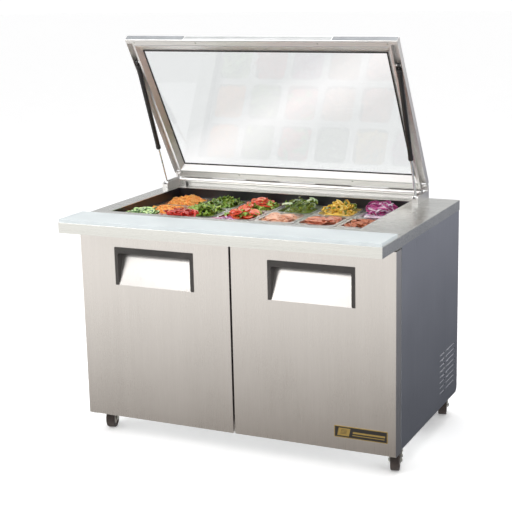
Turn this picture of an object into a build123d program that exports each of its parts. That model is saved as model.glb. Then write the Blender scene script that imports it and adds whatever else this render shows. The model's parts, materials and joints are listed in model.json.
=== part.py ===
from build123d import *
import os
from math import cos, hypot, radians, sin

# Sandwich prep table.  Millimetres, +Z up, origin on the floor under the centre of the worktop.
# Depths ("from the front") are measured from the worktop's front edge towards the rear.

# ---- driving dimensions -------------------------------------------------------------------------
WIDTH = 1229.0                 # worktop, left to right
DEPTH = 867.0                  # worktop, front to rear
TOP = 846.0                    # worktop surface above the floor
LIP = 38.2                     # height of the worktop's folded edge
SHEET = 1.5                    # worktop sheet
SKIN = 1.0                     # cabinet and door sheets
CORNER_R = 2.0                 # worktop's upright corners
FOLD_R = 1.5                   # outside radius where a sheet is folded

BOARD_DEPTH = 157.0
BOARD_THICK = 12.5
BOARD_INSET = 3.0

OPEN_LEFT = -545.0             # pan opening in the worktop
OPEN_RIGHT = 447.0
OPEN_FRONT = 248.0
OPEN_REAR = 780.0
PAN_COLUMNS = 6
PAN_ROWS = 3
PAN_WIDTH = 162.0              # one-sixth size pan, over its flange
PAN_LENGTH = 176.0
PAN_FLANGE = 12.0
PAN_DEPTH = 100.0
PAN_SHEET = 1.0
PAN_DROP = 38.0                # pan flange below the worktop surface

CABINET_HALF = 613.5           # outer face of the side panels
CABINET_FRONT = 195.0
CABINET_REAR = 861.5
PANEL_BOTTOM = 89.0
BASE_BOTTOM = 99.0
WALL = 50.0                    # foamed wall
FLOOR_TOP = 139.0
STEP_FRONT = 560.0             # the machine compartment's front wall
STEP_TOP = 390.0               # and its insulated roof
STEP_WALL = 40.0

DOOR_FRONT = 138.0
DOOR_THICK = 50.0
DOOR_BOTTOM = 82.0
DOOR_TOP = TOP - 45.0
DOOR_OUTER = 614.0
DOOR_GAP = 7.0
HINGE_INSET = 16.0             # door pivot from the door's outer edge
HINGE_PIN_R = 5.0
RUNNING = 0.05                 # radial clearance of a pin in its hole

HANDLE_X = 307.0
HANDLE_WIDTH = 323.0
HANDLE_TOP = TOP - 108.0
HANDLE_BOTTOM = TOP - 250.0
HANDLE_BAR = 22.0
HANDLE_LEG = 11.0
POCKET_DEPTH = 40.0

LID_LEFT = -597.0
LID_RIGHT = 493.0
LID_LENGTH = 673.0
LID_THICK = 28.0
LID_OPEN_ANGLE = 58.3          # degrees above horizontal, as stored
LID_CLOSE_TURN = 60.5          # degrees from stored to closed
LID_EDGE_FROM_FRONT = 843.0    # the underside's rear edge, as stored
LID_EDGE_RISE = 44.0
LID_PIVOT_U = -4.8             # lid pivot in the lid's own plane: along it,
LID_PIVOT_N = 13.5             # and up from its underside
LID_SIDE_RAIL = 50.0           # rails' widths up to the glass,
LID_FRONT_RAIL = 61.0
LID_REAR_RAIL = 43.0
SIDE_BEVEL = 16.5              # and how much of each slopes in from the underside
FRONT_BEVEL = 33.0
REAR_BEVEL = 21.0
LID_APRON = 9.8                # thin flap below the rear rail that covers the hinge
GLASS = 4.0
GLASS_N = 20.0
CHANNEL_WIDTH = 24.0
CHANNEL_DEPTH = 22.0
CHANNEL_END = 655.0
LID_WALL = 2.0
LID_PIN_R = 3.0
KNUCKLE_R = 7.0

STRUT_FOOT_FROM_FRONT = 748.0
STRUT_FOOT_RISE = 24.0
STRUT_HEAD_U = 565.0
STRUT_HEAD_N = 6.0
STRUT_CYLINDER_R = 9.0
STRUT_CYLINDER = 382.0
STRUT_ROD_R = 4.0
STRUT_EYE = 9.0

CASTOR_X = 575.0
CASTOR_FRONT = 250.0
CASTOR_REAR = 800.0
CASTOR_TURN = 14.5             # degrees that the wheels stand turned
WHEEL_R = 37.5
WHEEL_WIDTH = 32.0
TRAIL = 26.0
FORK_TOP = 93.0
STEM_R = 6.0
AXLE_R = 4.0

LOUVRE_ROWS = 8
LOUVRE_PITCH = 21.2
LOUVRE_TOP = TOP - 548.0
LOUVRE_COLUMNS = ((637.0, 699.0), (715.0, 827.0))
LOUVRE_SLOT = 6.0

SHAFT_R = 3.0

nodes = {}


# ---- small helpers ------------------------------------------------------------------------------
def depth(from_front):
    """Y of a point that is this far behind the worktop's front edge."""
    return from_front - DEPTH / 2


def block(x0, x1, y0, y1, z0, z1):
    """Box between two corners; y0 and y1 are measured from the front."""
    centre = Pos((x0 + x1) / 2, depth((y0 + y1) / 2), (z0 + z1) / 2)
    return centre * Box(x1 - x0, y1 - y0, z1 - z0)


def rod_x(x0, x1, y, z, radius):
    """Cylinder along X; y is measured from the front."""
    return Pos((x0 + x1) / 2, depth(y), z) * Rot(0, 90, 0) * Cylinder(radius, x1 - x0)


def rod_z(x, y, z0, z1, radius):
    """Cylinder along Z; y is measured from the front."""
    return Pos(x, depth(y), (z0 + z1) / 2) * Cylinder(radius, z1 - z0)


def side_profile(points, x0, x1):
    """Solid between x0 and x1 whose section is a polygon of (from the front, height) points."""
    outline = Polyline(*[(depth(y), z) for y, z in points], close=True)
    section = Plane.YZ * make_face(outline)
    return Pos(x0, 0, 0) * extrude(section, x1 - x0, dir=(1, 0, 0))


def group(*solids):
    """Separate solids that share one node."""
    return Compound(children=list(solids))


def mirrored(shape):
    return mirror(shape, about=Plane.YZ)


# ---- worktop, board, well and pans --------------------------------------------------------------
def make_worktop():
    half = WIDTH / 2
    sheet = block(-half, half, 0, DEPTH, TOP - LIP, TOP)
    sheet = fillet(sheet.edges().filter_by(Axis.Z), CORNER_R)
    sheet = fillet(sheet.edges().group_by(Axis.Z)[-1], FOLD_R)
    hollow = block(-half + SHEET, half - SHEET, SHEET, DEPTH - SHEET, TOP - LIP, TOP - SHEET)
    opening = block(OPEN_LEFT, OPEN_RIGHT, OPEN_FRONT, OPEN_REAR, TOP - LIP, TOP)
    return sheet - hollow - opening


def make_board():
    half = WIDTH / 2 - BOARD_INSET
    board = block(-half, half, 0.5, BOARD_DEPTH, TOP + 0.05, TOP + BOARD_THICK)
    return fillet(board.edges().group_by(Axis.Z)[-1], 1.5)


LINER = 3.5
LEDGE = 9.0
LINER_BOTTOM = TOP - 110.0
PAN_RIM = 2.2                  # height of a pan's turned-down rim
LEDGE_TOP = TOP - PAN_DROP - PAN_RIM - 0.2


def make_well_liner():
    top = TOP - SHEET - 0.1
    x0, x1, y0, y1 = OPEN_LEFT, OPEN_RIGHT, OPEN_FRONT, OPEN_REAR
    low = LEDGE_TOP - 4.0
    return group(
        block(x0 - LINER, x0, y0 - LINER, y1 + LINER, LINER_BOTTOM, top),
        block(x1, x1 + LINER, y0 - LINER, y1 + LINER, LINER_BOTTOM, top),
        block(x0, x1, y0 - LINER, y0, LINER_BOTTOM, top),
        block(x0, x1, y1, y1 + LINER, LINER_BOTTOM, top),
        block(x0, x0 + LEDGE, y0 + LEDGE, y1 - LEDGE, low, LEDGE_TOP),
        block(x1 - LEDGE, x1, y0 + LEDGE, y1 - LEDGE, low, LEDGE_TOP),
        block(x0, x1, y0, y0 + LEDGE, low - 4.0, low),
        block(x0, x1, y1 - LEDGE, y1, low - 4.0, low),
    )


COLUMN_PITCH = (OPEN_RIGHT - OPEN_LEFT) / PAN_COLUMNS
ROW_PITCH = (OPEN_REAR - OPEN_FRONT) / PAN_ROWS
BAR_WIDTH = 22.0
BAR_LEG = 11.0
BAR_SHEET = 1.2


def make_divider_bars():
    """Folded bars, open below, that run front to rear between the pan columns."""
    bars = []
    for column in range(1, PAN_COLUMNS):
        x = OPEN_LEFT + column * COLUMN_PITCH
        x0, x1 = x - BAR_WIDTH / 2, x + BAR_WIDTH / 2
        ends = block(x0, x1, OPEN_FRONT + 0.5, OPEN_REAR - 0.5, LEDGE_TOP - 4.0, LEDGE_TOP)
        middle = block(x0, x1, OPEN_FRONT + LEDGE + 1, OPEN_REAR - LEDGE - 1, LEDGE_TOP - BAR_LEG, LEDGE_TOP)
        hollow = block(x0 + BAR_SHEET, x1 - BAR_SHEET, OPEN_FRONT, OPEN_REAR,
                       LEDGE_TOP - BAR_LEG, LEDGE_TOP - BAR_SHEET)
        bars.append(ends + middle - hollow)
    return group(*bars)


def make_pan():
    """One pan about its own centre, with the flange's top face at Z = 0."""
    top_x, top_y = PAN_WIDTH - 2 * PAN_FLANGE, PAN_LENGTH - 2 * PAN_FLANGE
    taper = 16.0
    corner = 20.0

    def tub(inset, bottom, above):
        upper = Pos(0, 0, above) * RectangleRounded(top_x - 2 * inset, top_y - 2 * inset, corner - inset)
        lower = Pos(0, 0, bottom) * RectangleRounded(top_x - taper - 2 * inset, top_y - taper - 2 * inset,
                                                     corner - inset)
        return loft([lower.face(), upper.face()])

    flange = extrude(RectangleRounded(PAN_WIDTH, PAN_LENGTH, 8.0), -PAN_SHEET)
    skirt = extrude(Pos(0, 0, -PAN_RIM) * RectangleRounded(PAN_WIDTH, PAN_LENGTH, 8.0), PAN_RIM)
    skirt -= extrude(Pos(0, 0, -PAN_RIM) * RectangleRounded(PAN_WIDTH - 2, PAN_LENGTH - 2, 7.0), PAN_RIM)
    body = flange + skirt + tub(0, -PAN_DEPTH, 0)
    return body - tub(PAN_SHEET, -PAN_DEPTH + PAN_SHEET, 0.01)


def add_pans():
    pan = make_pan()
    for column in range(PAN_COLUMNS):
        for row in range(PAN_ROWS):
            x = OPEN_LEFT + (column + 0.5) * COLUMN_PITCH
            y = depth(OPEN_FRONT + (row + 0.5) * ROW_PITCH)
            place = Pos(x, y, TOP - PAN_DROP)
            nodes[f"pan_{column + 1}_{row + 1}"] = place * pan


# ---- cabinet ------------------------------------------------------------------------------------
WALL_OUT = CABINET_HALF - SKIN - 0.1
WALL_IN = WALL_OUT - WALL
BODY_FRONT = CABINET_FRONT + SKIN
BODY_REAR = CABINET_REAR - SKIN - 0.1
BODY_TOP = TOP - LIP - 0.3
SUBTOP_TOP = TOP - SHEET - 0.1
SUBTOP_LOW = TOP - LIP + 0.5
SUBTOP_HALF = WIDTH / 2 - SHEET - 0.2
RAIL_DEPTH = 44.0


def make_cabinet_body():
    """Foamed walls as plain slabs that meet face to face."""
    back = STEP_FRONT + STEP_WALL
    step_low = STEP_TOP - STEP_WALL
    parts = []
    for side in (-1, 1):
        near, far = sorted((side * WALL_IN, side * WALL_OUT))
        parts.append(block(near, far, BODY_FRONT, BODY_REAR, step_low, BODY_TOP))
        parts.append(block(near, far, BODY_FRONT, back, BASE_BOTTOM, step_low))
    parts.append(block(-WALL_IN, WALL_IN, BODY_REAR - WALL, BODY_REAR, STEP_TOP, BODY_TOP))
    parts.append(block(-WALL_IN, WALL_IN, BODY_FRONT, STEP_FRONT, BASE_BOTTOM, FLOOR_TOP))
    parts.append(block(-WALL_IN, WALL_IN, STEP_FRONT, back, BASE_BOTTOM, step_low))
    parts.append(block(-WALL_IN, WALL_IN, STEP_FRONT, BODY_REAR, step_low, STEP_TOP))
    parts.append(block(-25, 25, BODY_FRONT, BODY_FRONT + RAIL_DEPTH, FLOOR_TOP, BODY_TOP - WALL))
    parts.append(block(-WALL_IN, WALL_IN, BODY_FRONT, BODY_FRONT + RAIL_DEPTH, BODY_TOP - WALL, BODY_TOP))
    edge = LINER + 0.3
    y0, y1 = OPEN_FRONT - edge, OPEN_REAR + edge
    parts.append(block(-SUBTOP_HALF, SUBTOP_HALF, SHEET + 0.3, y0, SUBTOP_LOW, SUBTOP_TOP))
    parts.append(block(-SUBTOP_HALF, SUBTOP_HALF, y1, DEPTH - SHEET - 0.3, SUBTOP_LOW, SUBTOP_TOP))
    parts.append(block(-SUBTOP_HALF, OPEN_LEFT - edge, y0, y1, SUBTOP_LOW, SUBTOP_TOP))
    parts.append(block(OPEN_RIGHT + edge, SUBTOP_HALF, y0, y1, SUBTOP_LOW, SUBTOP_TOP))
    return group(*parts)


PANEL_TOP = TOP - LIP - 0.4
CORNER_CUT = 14.0


def make_side_panel():
    """Right-hand side sheet with a folded front flange, before its louvres are cut."""
    sheet = block(CABINET_HALF - SKIN, CABINET_HALF, CABINET_FRONT, CABINET_REAR, PANEL_BOTTOM, PANEL_TOP)
    flange = block(CABINET_HALF - 24, CABINET_HALF, CABINET_FRONT, CABINET_FRONT + SKIN,
                   BASE_BOTTOM, PANEL_TOP)
    corner = side_profile(
        [(CABINET_REAR - CORNER_CUT, PANEL_BOTTOM - 1), (CABINET_REAR + 1, PANEL_BOTTOM - 1),
         (CABINET_REAR + 1, PANEL_BOTTOM + CORNER_CUT)],
        CABINET_HALF - SKIN - 1, CABINET_HALF + 1)
    return sheet + flange - corner


def make_right_side_panel():
    panel = make_side_panel()
    slots = []
    for row in range(LOUVRE_ROWS):
        z = LOUVRE_TOP - row * LOUVRE_PITCH
        for y0, y1 in LOUVRE_COLUMNS:
            slots.append(block(CABINET_HALF - 5, CABINET_HALF + 5, y0, y1, z - LOUVRE_SLOT, z))
    return panel - slots


GLAND_X = -480.0
GLAND_Z = 180.0
GLAND_R = 5.0


def make_rear_panel():
    """Rear sheet with the machine compartment's air slots and the cord gland."""
    sheet = block(-CABINET_HALF + SKIN + 0.1, CABINET_HALF - SKIN - 0.1, CABINET_REAR - SKIN, CABINET_REAR,
                  BASE_BOTTOM + 3.2, PANEL_TOP)
    slots = []
    for row in range(12):
        z = 140.0 + row * 16.0
        for x0 in (-380.0, -180.0, 20.0, 220.0, 420.0):
            slots.append(block(x0, x0 + 160.0, CABINET_REAR - 5, CABINET_REAR + 5, z, z + 6.0))
    place = Pos(GLAND_X, depth(CABINET_REAR - 4), GLAND_Z) * Rot(90, 0, 0)
    gland = place * Cylinder(11.0, 16.0)
    bore = place * Cylinder(GLAND_R, 40.0)
    return sheet + gland - slots - bore


WIRE = 5.0
SHELF_HEIGHTS = (300.0, 480.0)
SHELF_FRONT = 246.0
SHELF_REARS = (STEP_FRONT - 6.0, 800.0)


def make_shelf(x0, x1, y1, z):
    """One wire shelf with the clips that carry it."""
    shelf = block(x0, x1, SHELF_FRONT, SHELF_FRONT + WIRE, z, z + WIRE)
    for y in (SHELF_FRONT + (y1 - SHELF_FRONT) / 2, y1 - WIRE):
        shelf += block(x0, x1, y, y + WIRE, z, z + WIRE)
    count = 18
    step = (x1 - x0 - WIRE) / count
    for index in range(count + 1):
        x = x0 + index * step
        shelf += block(x, x + WIRE, SHELF_FRONT, y1, z + WIRE / 2, z + 1.5 * WIRE)
    for y in (SHELF_FRONT + 30, y1 - 50):
        shelf += block(x0 - 8, x0 + WIRE, y, y + 20, z - 6, z + WIRE)
        shelf += block(x1 - WIRE, x1 + 8, y, y + 20, z - 6, z + WIRE)
    return shelf


def make_shelves():
    shelves = []
    for x0, x1 in ((-WALL_IN + 8, -25 - 8), (25 + 8, WALL_IN - 8)):
        for z, y1 in zip(SHELF_HEIGHTS, SHELF_REARS):
            shelves.append(make_shelf(x0, x1, y1, z))
    return group(*shelves)


FAN_Y = 735.0
FAN_Z = 222.0
FAN_X = 478.0
FAN_R = 88.0


def make_condensing_unit():
    base = block(-WALL_OUT, WALL_OUT, STEP_FRONT + STEP_WALL + 1, BODY_REAR + 0.5, BASE_BOTTOM, BASE_BOTTOM + 3)
    coil = block(520, 558, 632, 838, BASE_BOTTOM + 3, 332)
    for index in range(20):
        z = 112.0 + index * 11.0
        coil -= block(515, 534, 640, 830, z, z + 4.0)
    body = Pos(180, depth(728), BASE_BOTTOM + 3 + 14 + 75) * Cylinder(78, 150)
    body = fillet(body.edges().group_by(Axis.Z)[-1], 30)
    feet = block(95, 265, 650, 806, BASE_BOTTOM + 3, BASE_BOTTOM + 17)
    motor = rod_x(400, FAN_X - 14, FAN_Y, FAN_Z, 32)
    shaft = rod_x(FAN_X - 14, FAN_X + 12, FAN_Y, FAN_Z, SHAFT_R)
    stand = block(410, 440, FAN_Y - 20, FAN_Y + 20, BASE_BOTTOM + 3, FAN_Z - 20)
    return group(base, coil, body + feet, motor + shaft + stand)


def make_fan(radius, hub_r, hub_length, pitch):
    """Four-blade fan on the X axis with a shaft bore."""
    fan = Rot(0, 90, 0) * Cylinder(hub_r, hub_length)
    for index in range(4):
        blade = Rot(90 * index, 0, 0) * Pos(0, 0, (hub_r + radius) / 2 - 1) * Rot(0, 0, pitch)
        fan += blade * Box(2.0, radius * 0.75, radius - hub_r + 2)
    return fan - Rot(0, 90, 0) * Cylinder(SHAFT_R + RUNNING, hub_length + 2)


EVAP_X = 505.0
EVAP_Y = 560.0
EVAP_Z = 690.0
EVAP_FAN_R = 58.0


def make_evaporator():
    """Open-fronted housing with a finned coil and a fan motor, facing the well."""
    x0, x1, y0, y1, z0, z1 = 462.0, WALL_IN - 1, 300.0, 700.0, 600.0, 790.0
    housing = block(x0, x1, y0, y1, z0, z1) - block(x0 - 1, x1 - 2, y0 + 2, y1 - 2, z0 + 2, z1 - 2)
    coil = block(x0 + 10, x1 - 3, y0 + 10, 480, z0 + 12, z1 - 12)
    for index in range(12):
        y = y0 + 20 + index * 13.0
        coil -= block(x0 + 5, x0 + 40, y, y + 5.0, z0 + 20, z1 - 20)
    motor = rod_x(EVAP_X + 14, x1 - 2, EVAP_Y, EVAP_Z, 20)
    shaft = rod_x(EVAP_X - 10, EVAP_X + 14, EVAP_Y, EVAP_Z, SHAFT_R)
    return group(housing + motor + shaft, coil)


# ---- doors --------------------------------------------------------------------------------------
HANDLE_PROUD = 2.5
CHEEK = 1.5
POCKET_HALF = HANDLE_WIDTH / 2 - HANDLE_LEG
POCKET_TOP = HANDLE_TOP - 4.0


def pocket(grow, half):
    """Wedge-shaped hand recess about the handle's centre, opened out by grow."""
    front = DOOR_FRONT - 5
    lip_y = DOOR_FRONT + grow
    rear = DOOR_FRONT + POCKET_DEPTH + grow
    points = [(front, HANDLE_BOTTOM), (DOOR_FRONT, HANDLE_BOTTOM), (lip_y, HANDLE_BOTTOM - 0.001),
              (rear, HANDLE_TOP - 26), (rear, POCKET_TOP + grow), (front, POCKET_TOP + grow)]
    if grow == 0:
        points.pop(2)
    return side_profile(points, HANDLE_X - half, HANDLE_X + half)


def make_door_skin():
    x0, x1 = DOOR_GAP / 2, DOOR_OUTER
    y0, y1 = DOOR_FRONT, DOOR_FRONT + DOOR_THICK
    skin = block(x0, x1, y0, y1, DOOR_BOTTOM, DOOR_TOP)
    skin = fillet(skin.edges().group_by(Axis.Y)[0], FOLD_R)
    skin -= block(x0 + SKIN, x1 - SKIN, y0 + SKIN, y1, DOOR_BOTTOM + SKIN, DOOR_TOP - SKIN)
    keep = block(x0, x1, y0, y1, DOOR_BOTTOM, DOOR_TOP)
    skin += pocket(SKIN, POCKET_HALF + SKIN) & keep
    skin -= pocket(0, POCKET_HALF)
    pin = rod_z(DOOR_OUTER - HINGE_INSET, y0 + DOOR_THICK / 2, DOOR_BOTTOM - 1, DOOR_TOP + 1, HINGE_PIN_R + 1)
    ends = block(x0, x1, y0, y1, DOOR_BOTTOM - 1, DOOR_BOTTOM + SKIN)
    ends += block(x0, x1, y0, y1, DOOR_TOP - SKIN, DOOR_TOP + 1)
    return skin - (pin & ends)


def make_door_core():
    x0, x1 = DOOR_GAP / 2 + SKIN + 0.1, DOOR_OUTER - SKIN - 0.1
    y0, y1 = DOOR_FRONT + SKIN + 0.1, DOOR_FRONT + DOOR_THICK
    z0, z1 = DOOR_BOTTOM + SKIN + 0.1, DOOR_TOP - SKIN - 0.1
    core = block(x0, x1, y0, y1, z0, z1)
    core -= pocket(SKIN + 0.1, POCKET_HALF + SKIN + 0.1)
    pin_y = DOOR_FRONT + DOOR_THICK / 2
    for low, high in ((z0 - 1, z0 + 34), (z1 - 34, z1 + 1)):
        core -= rod_z(DOOR_OUTER - HINGE_INSET, pin_y, low, high, HINGE_PIN_R + RUNNING)
    return core


def make_handle():
    """Bar, two legs and the pocket's side cheeks in one dark moulding."""
    x0, x1 = HANDLE_X - HANDLE_WIDTH / 2, HANDLE_X + HANDLE_WIDTH / 2
    face = DOOR_FRONT - HANDLE_PROUD
    outer = block(x0, x1, face, DOOR_FRONT - 0.05, HANDLE_BOTTOM, HANDLE_TOP)
    inner = block(x0 + HANDLE_LEG, x1 - HANDLE_LEG, face - 1, DOOR_FRONT, HANDLE_BOTTOM - 1,
                  HANDLE_TOP - HANDLE_BAR)
    inner = fillet(inner.edges().filter_by(Axis.Y).group_by(Axis.Z)[-1], 8)
    trim = fillet((outer - inner).edges().filter_by(Axis.Y).group_by(Axis.Z)[-1], 3)
    half = POCKET_HALF - 0.1
    bar = block(HANDLE_X - half, HANDLE_X + half, face, DOOR_FRONT + 9, HANDLE_TOP - HANDLE_BAR,
                POCKET_TOP - 0.2)
    cheeks = pocket(-0.1, half) - pocket(5, half - CHEEK) & block(x0, x1, face, 200, HANDLE_BOTTOM + 3,
                                                                  POCKET_TOP - 0.2)
    return trim + bar + cheeks


GASKET_INSET = 20.0
GASKET_WIDTH = 14.0
GASKET_REACH = 6.6


def make_gasket():
    x0, x1 = DOOR_GAP / 2 + GASKET_INSET, DOOR_OUTER - GASKET_INSET
    z0, z1 = DOOR_BOTTOM + GASKET_INSET, DOOR_TOP - GASKET_INSET
    y0, y1 = DOOR_FRONT + DOOR_THICK, DOOR_FRONT + DOOR_THICK + GASKET_REACH
    ring = block(x0, x1, y0, y1, z0, z1)
    w = GASKET_WIDTH
    return ring - block(x0 + w, x1 - w, y0 - 1, y1 + 1, z0 + w, z1 - w)


BADGE_X0 = 389.0
BADGE_X1 = 584.0
BADGE_TOP = TOP - 676.0
BADGE_BOTTOM = TOP - 718.0
BADGE_THICK = 1.5


def make_badge():
    plate = block(BADGE_X0, BADGE_X1, DOOR_FRONT - BADGE_THICK, DOOR_FRONT - 0.02, BADGE_BOTTOM, BADGE_TOP)
    return fillet(plate.edges().filter_by(Axis.Y), 2.0)


def make_hinge_pair():
    """Top and bottom brackets of the right-hand door, each with its pivot pin."""
    x = DOOR_OUTER - HINGE_INSET
    y = DOOR_FRONT + DOOR_THICK / 2
    x0, x1 = 583.0, 611.5
    top = block(x0, x1, 148, 194, DOOR_TOP + 2.2, TOP - LIP + 0.4)
    top += rod_z(x, y, DOOR_TOP - 30, DOOR_TOP + 3, HINGE_PIN_R)
    low = block(x0, x1, 148, 203, DOOR_BOTTOM - 4.5, DOOR_BOTTOM - 1.5)
    low += block(x0, x1, 199, 203, DOOR_BOTTOM - 2, BASE_BOTTOM)
    low += rod_z(x, y, DOOR_BOTTOM - 3, DOOR_BOTTOM + 30, HINGE_PIN_R)
    return top, low


def add_doors():
    for name, maker in (("door_skin", make_door_skin), ("door_core", make_door_core),
                        ("door_handle", make_handle), ("door_gasket", make_gasket)):
        right = maker()
        nodes[name + "_right"] = right
        nodes[name + "_left"] = mirrored(right)
    nodes["badge"] = make_badge()
    top, low = make_hinge_pair()
    nodes["door_hinges"] = group(top, low, mirrored(top), mirrored(low))


# ---- lid ----------------------------------------------------------------------------------------
def lid_block(x0, x1, u0, u1, n0, n1):
    """Box in the lid's own plane: u runs from the hinge edge to the front, n up from the underside."""
    return Pos((x0 + x1) / 2, -(u0 + u1) / 2, (n0 + n1) / 2) * Box(x1 - x0, u1 - u0, n1 - n0)


def lid_rod(x0, x1, u, n, radius):
    return Pos((x0 + x1) / 2, -u, n) * Rot(0, 90, 0) * Cylinder(radius, x1 - x0)


LID_PLACE = Pos(0, depth(LID_EDGE_FROM_FRONT), TOP + LID_EDGE_RISE) * Rot(-LID_OPEN_ANGLE, 0, 0)


def lid_point(u, n):
    """(from the front, height) of a point in the lid's plane, lid as stored."""
    a = radians(LID_OPEN_ANGLE)
    return (LID_EDGE_FROM_FRONT - u * cos(a) + n * sin(a), TOP + LID_EDGE_RISE + u * sin(a) + n * cos(a))


PIVOT_Y, PIVOT_Z = lid_point(LID_PIVOT_U, LID_PIVOT_N)
GLASS_X0 = LID_LEFT + LID_SIDE_RAIL
GLASS_X1 = LID_RIGHT - LID_SIDE_RAIL
GLASS_U0 = LID_REAR_RAIL
GLASS_U1 = LID_LENGTH - LID_FRONT_RAIL
LID_START = 3.0
STRUT_X = CHANNEL_WIDTH / 2 + LID_WALL     # strut's centre from the lid's outer side
KNUCKLES = 7
BRACKET = 8.0                  # outer cheek of the blocks at the ends of the hinge
BRACKET_WIDTH = 24.0           # and their whole width


def knuckle_spans(first):
    """Every second one of the hinge's knuckles, left to right."""
    x0, x1 = LID_LEFT + BRACKET + 1, LID_RIGHT - BRACKET - 1
    step = (x1 - x0) / KNUCKLES
    return [(x0 + i * step + 0.4, x0 + (i + 1) * step - 0.4) for i in range(first, KNUCKLES, 2)]


def lid_window(n):
    """The opening's outline at this height above the underside: it narrows up to the glass."""
    rest = (GLASS_N - n) / GLASS_N
    x0, x1 = GLASS_X0 - rest * SIDE_BEVEL, GLASS_X1 + rest * SIDE_BEVEL
    u0, u1 = GLASS_U0 - rest * REAR_BEVEL, GLASS_U1 + rest * FRONT_BEVEL
    return Pos((x0 + x1) / 2, -(u0 + u1) / 2, n) * Rectangle(x1 - x0, u1 - u0)


def make_lid_frame():
    frame = lid_block(LID_LEFT, LID_RIGHT, LID_START, LID_LENGTH, 0, LID_THICK)
    frame = chamfer(frame.edges().filter_by(Axis.X).group_by(Axis.Y)[0], 1.5)
    frame -= loft([lid_window(-1.0), lid_window(GLASS_N - 0.1)])
    frame -= lid_block(GLASS_X0, GLASS_X1, GLASS_U0, GLASS_U1, GLASS_N - 0.3, LID_THICK + 1)
    frame -= lid_block(GLASS_X0 - 8.5, GLASS_X1 + 8.5, GLASS_U0 - 8.5, GLASS_U1 + 8.5,
                       GLASS_N - 0.2, GLASS_N + GLASS + 0.2)
    for x0 in (LID_LEFT + LID_WALL, LID_RIGHT - LID_WALL - CHANNEL_WIDTH):
        frame -= lid_block(x0, x0 + CHANNEL_WIDTH, -1, CHANNEL_END, -1, CHANNEL_DEPTH)
    for side, x in ((1, LID_LEFT + STRUT_X), (-1, LID_RIGHT - STRUT_X)):
        x0, x1 = sorted((x - side * 7, x + side * CHANNEL_WIDTH / 2))
        frame += lid_rod(x0, x1, STRUT_HEAD_U, STRUT_HEAD_N, STRUT_ROD_R)
    for x0, x1 in knuckle_spans(1):
        frame += lid_rod(x0, x1, LID_PIVOT_U, LID_PIVOT_N, KNUCKLE_R)
        frame += lid_block(x0, x1, LID_PIVOT_U, LID_START + 1, LID_PIVOT_N - 4, LID_PIVOT_N + 4)
    inset = BRACKET_WIDTH + 1
    frame += lid_block(LID_LEFT + inset, LID_RIGHT - inset, -LID_APRON, LID_START + 1, 0, 2.5)
    frame -= lid_rod(LID_LEFT, LID_RIGHT, LID_PIVOT_U, LID_PIVOT_N, LID_PIN_R + RUNNING)
    return LID_PLACE * frame


def make_lid_glass():
    return LID_PLACE * lid_block(GLASS_X0 - 8, GLASS_X1 + 8, GLASS_U0 - 8, GLASS_U1 + 8, GLASS_N, GLASS_N + GLASS)


def make_lid_gasket():
    n0, n1 = GLASS_N - 2.5, GLASS_N - 0.05
    ring = lid_block(GLASS_X0 + 0.05, GLASS_X1 - 0.05, GLASS_U0 + 0.05, GLASS_U1 - 0.05, n0, n1)
    ring -= lid_block(GLASS_X0 + 5, GLASS_X1 - 5, GLASS_U0 + 5, GLASS_U1 - 5, n0 - 1, n1 + 1)
    return LID_PLACE * ring


HOOD_FRONT = 843.0
HOOD_TOP = 31.0
HOOD_UNDER = 9.5
HOOD_ROUND = 9.5
HOOD_WEB = 853.5
HOOD_REAR = 866.0
NECK_Y = 863.2                 # fixed knuckles' necks stand behind the lid's apron
BLOCK_FRONT = 733.0
BLOCK_REAR = 848.0
SADDLE = 15.5                  # floor of the slot that a strut's foot stands in
SILL = 19.0                    # wall in front of it, below the strut when the lid is shut


def make_hood():
    """Rounded cover along the rear edge, below the hinge."""
    x0, x1 = LID_LEFT + BRACKET_WIDTH + 0.1, LID_RIGHT - BRACKET_WIDTH - 0.1
    outer = [(HOOD_FRONT, HOOD_UNDER), (HOOD_FRONT, HOOD_TOP), (HOOD_REAR, HOOD_TOP), (HOOD_REAR, 0),
             (HOOD_WEB, 0), (HOOD_WEB, HOOD_UNDER)]
    back = HOOD_REAR - 2
    inner = [(HOOD_WEB + 2, -1), (HOOD_WEB + 2, HOOD_TOP - 2), (back, HOOD_TOP - 2), (back, -1)]
    hood = side_profile([(y, TOP + z) for y, z in outer], x0, x1)
    hood = fillet(hood.edges().filter_by(Axis.X).group_by(Axis.Y)[0], HOOD_ROUND)
    return hood - side_profile([(y, TOP + z) for y, z in inner], x0 - 1, x1 + 1)


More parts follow.
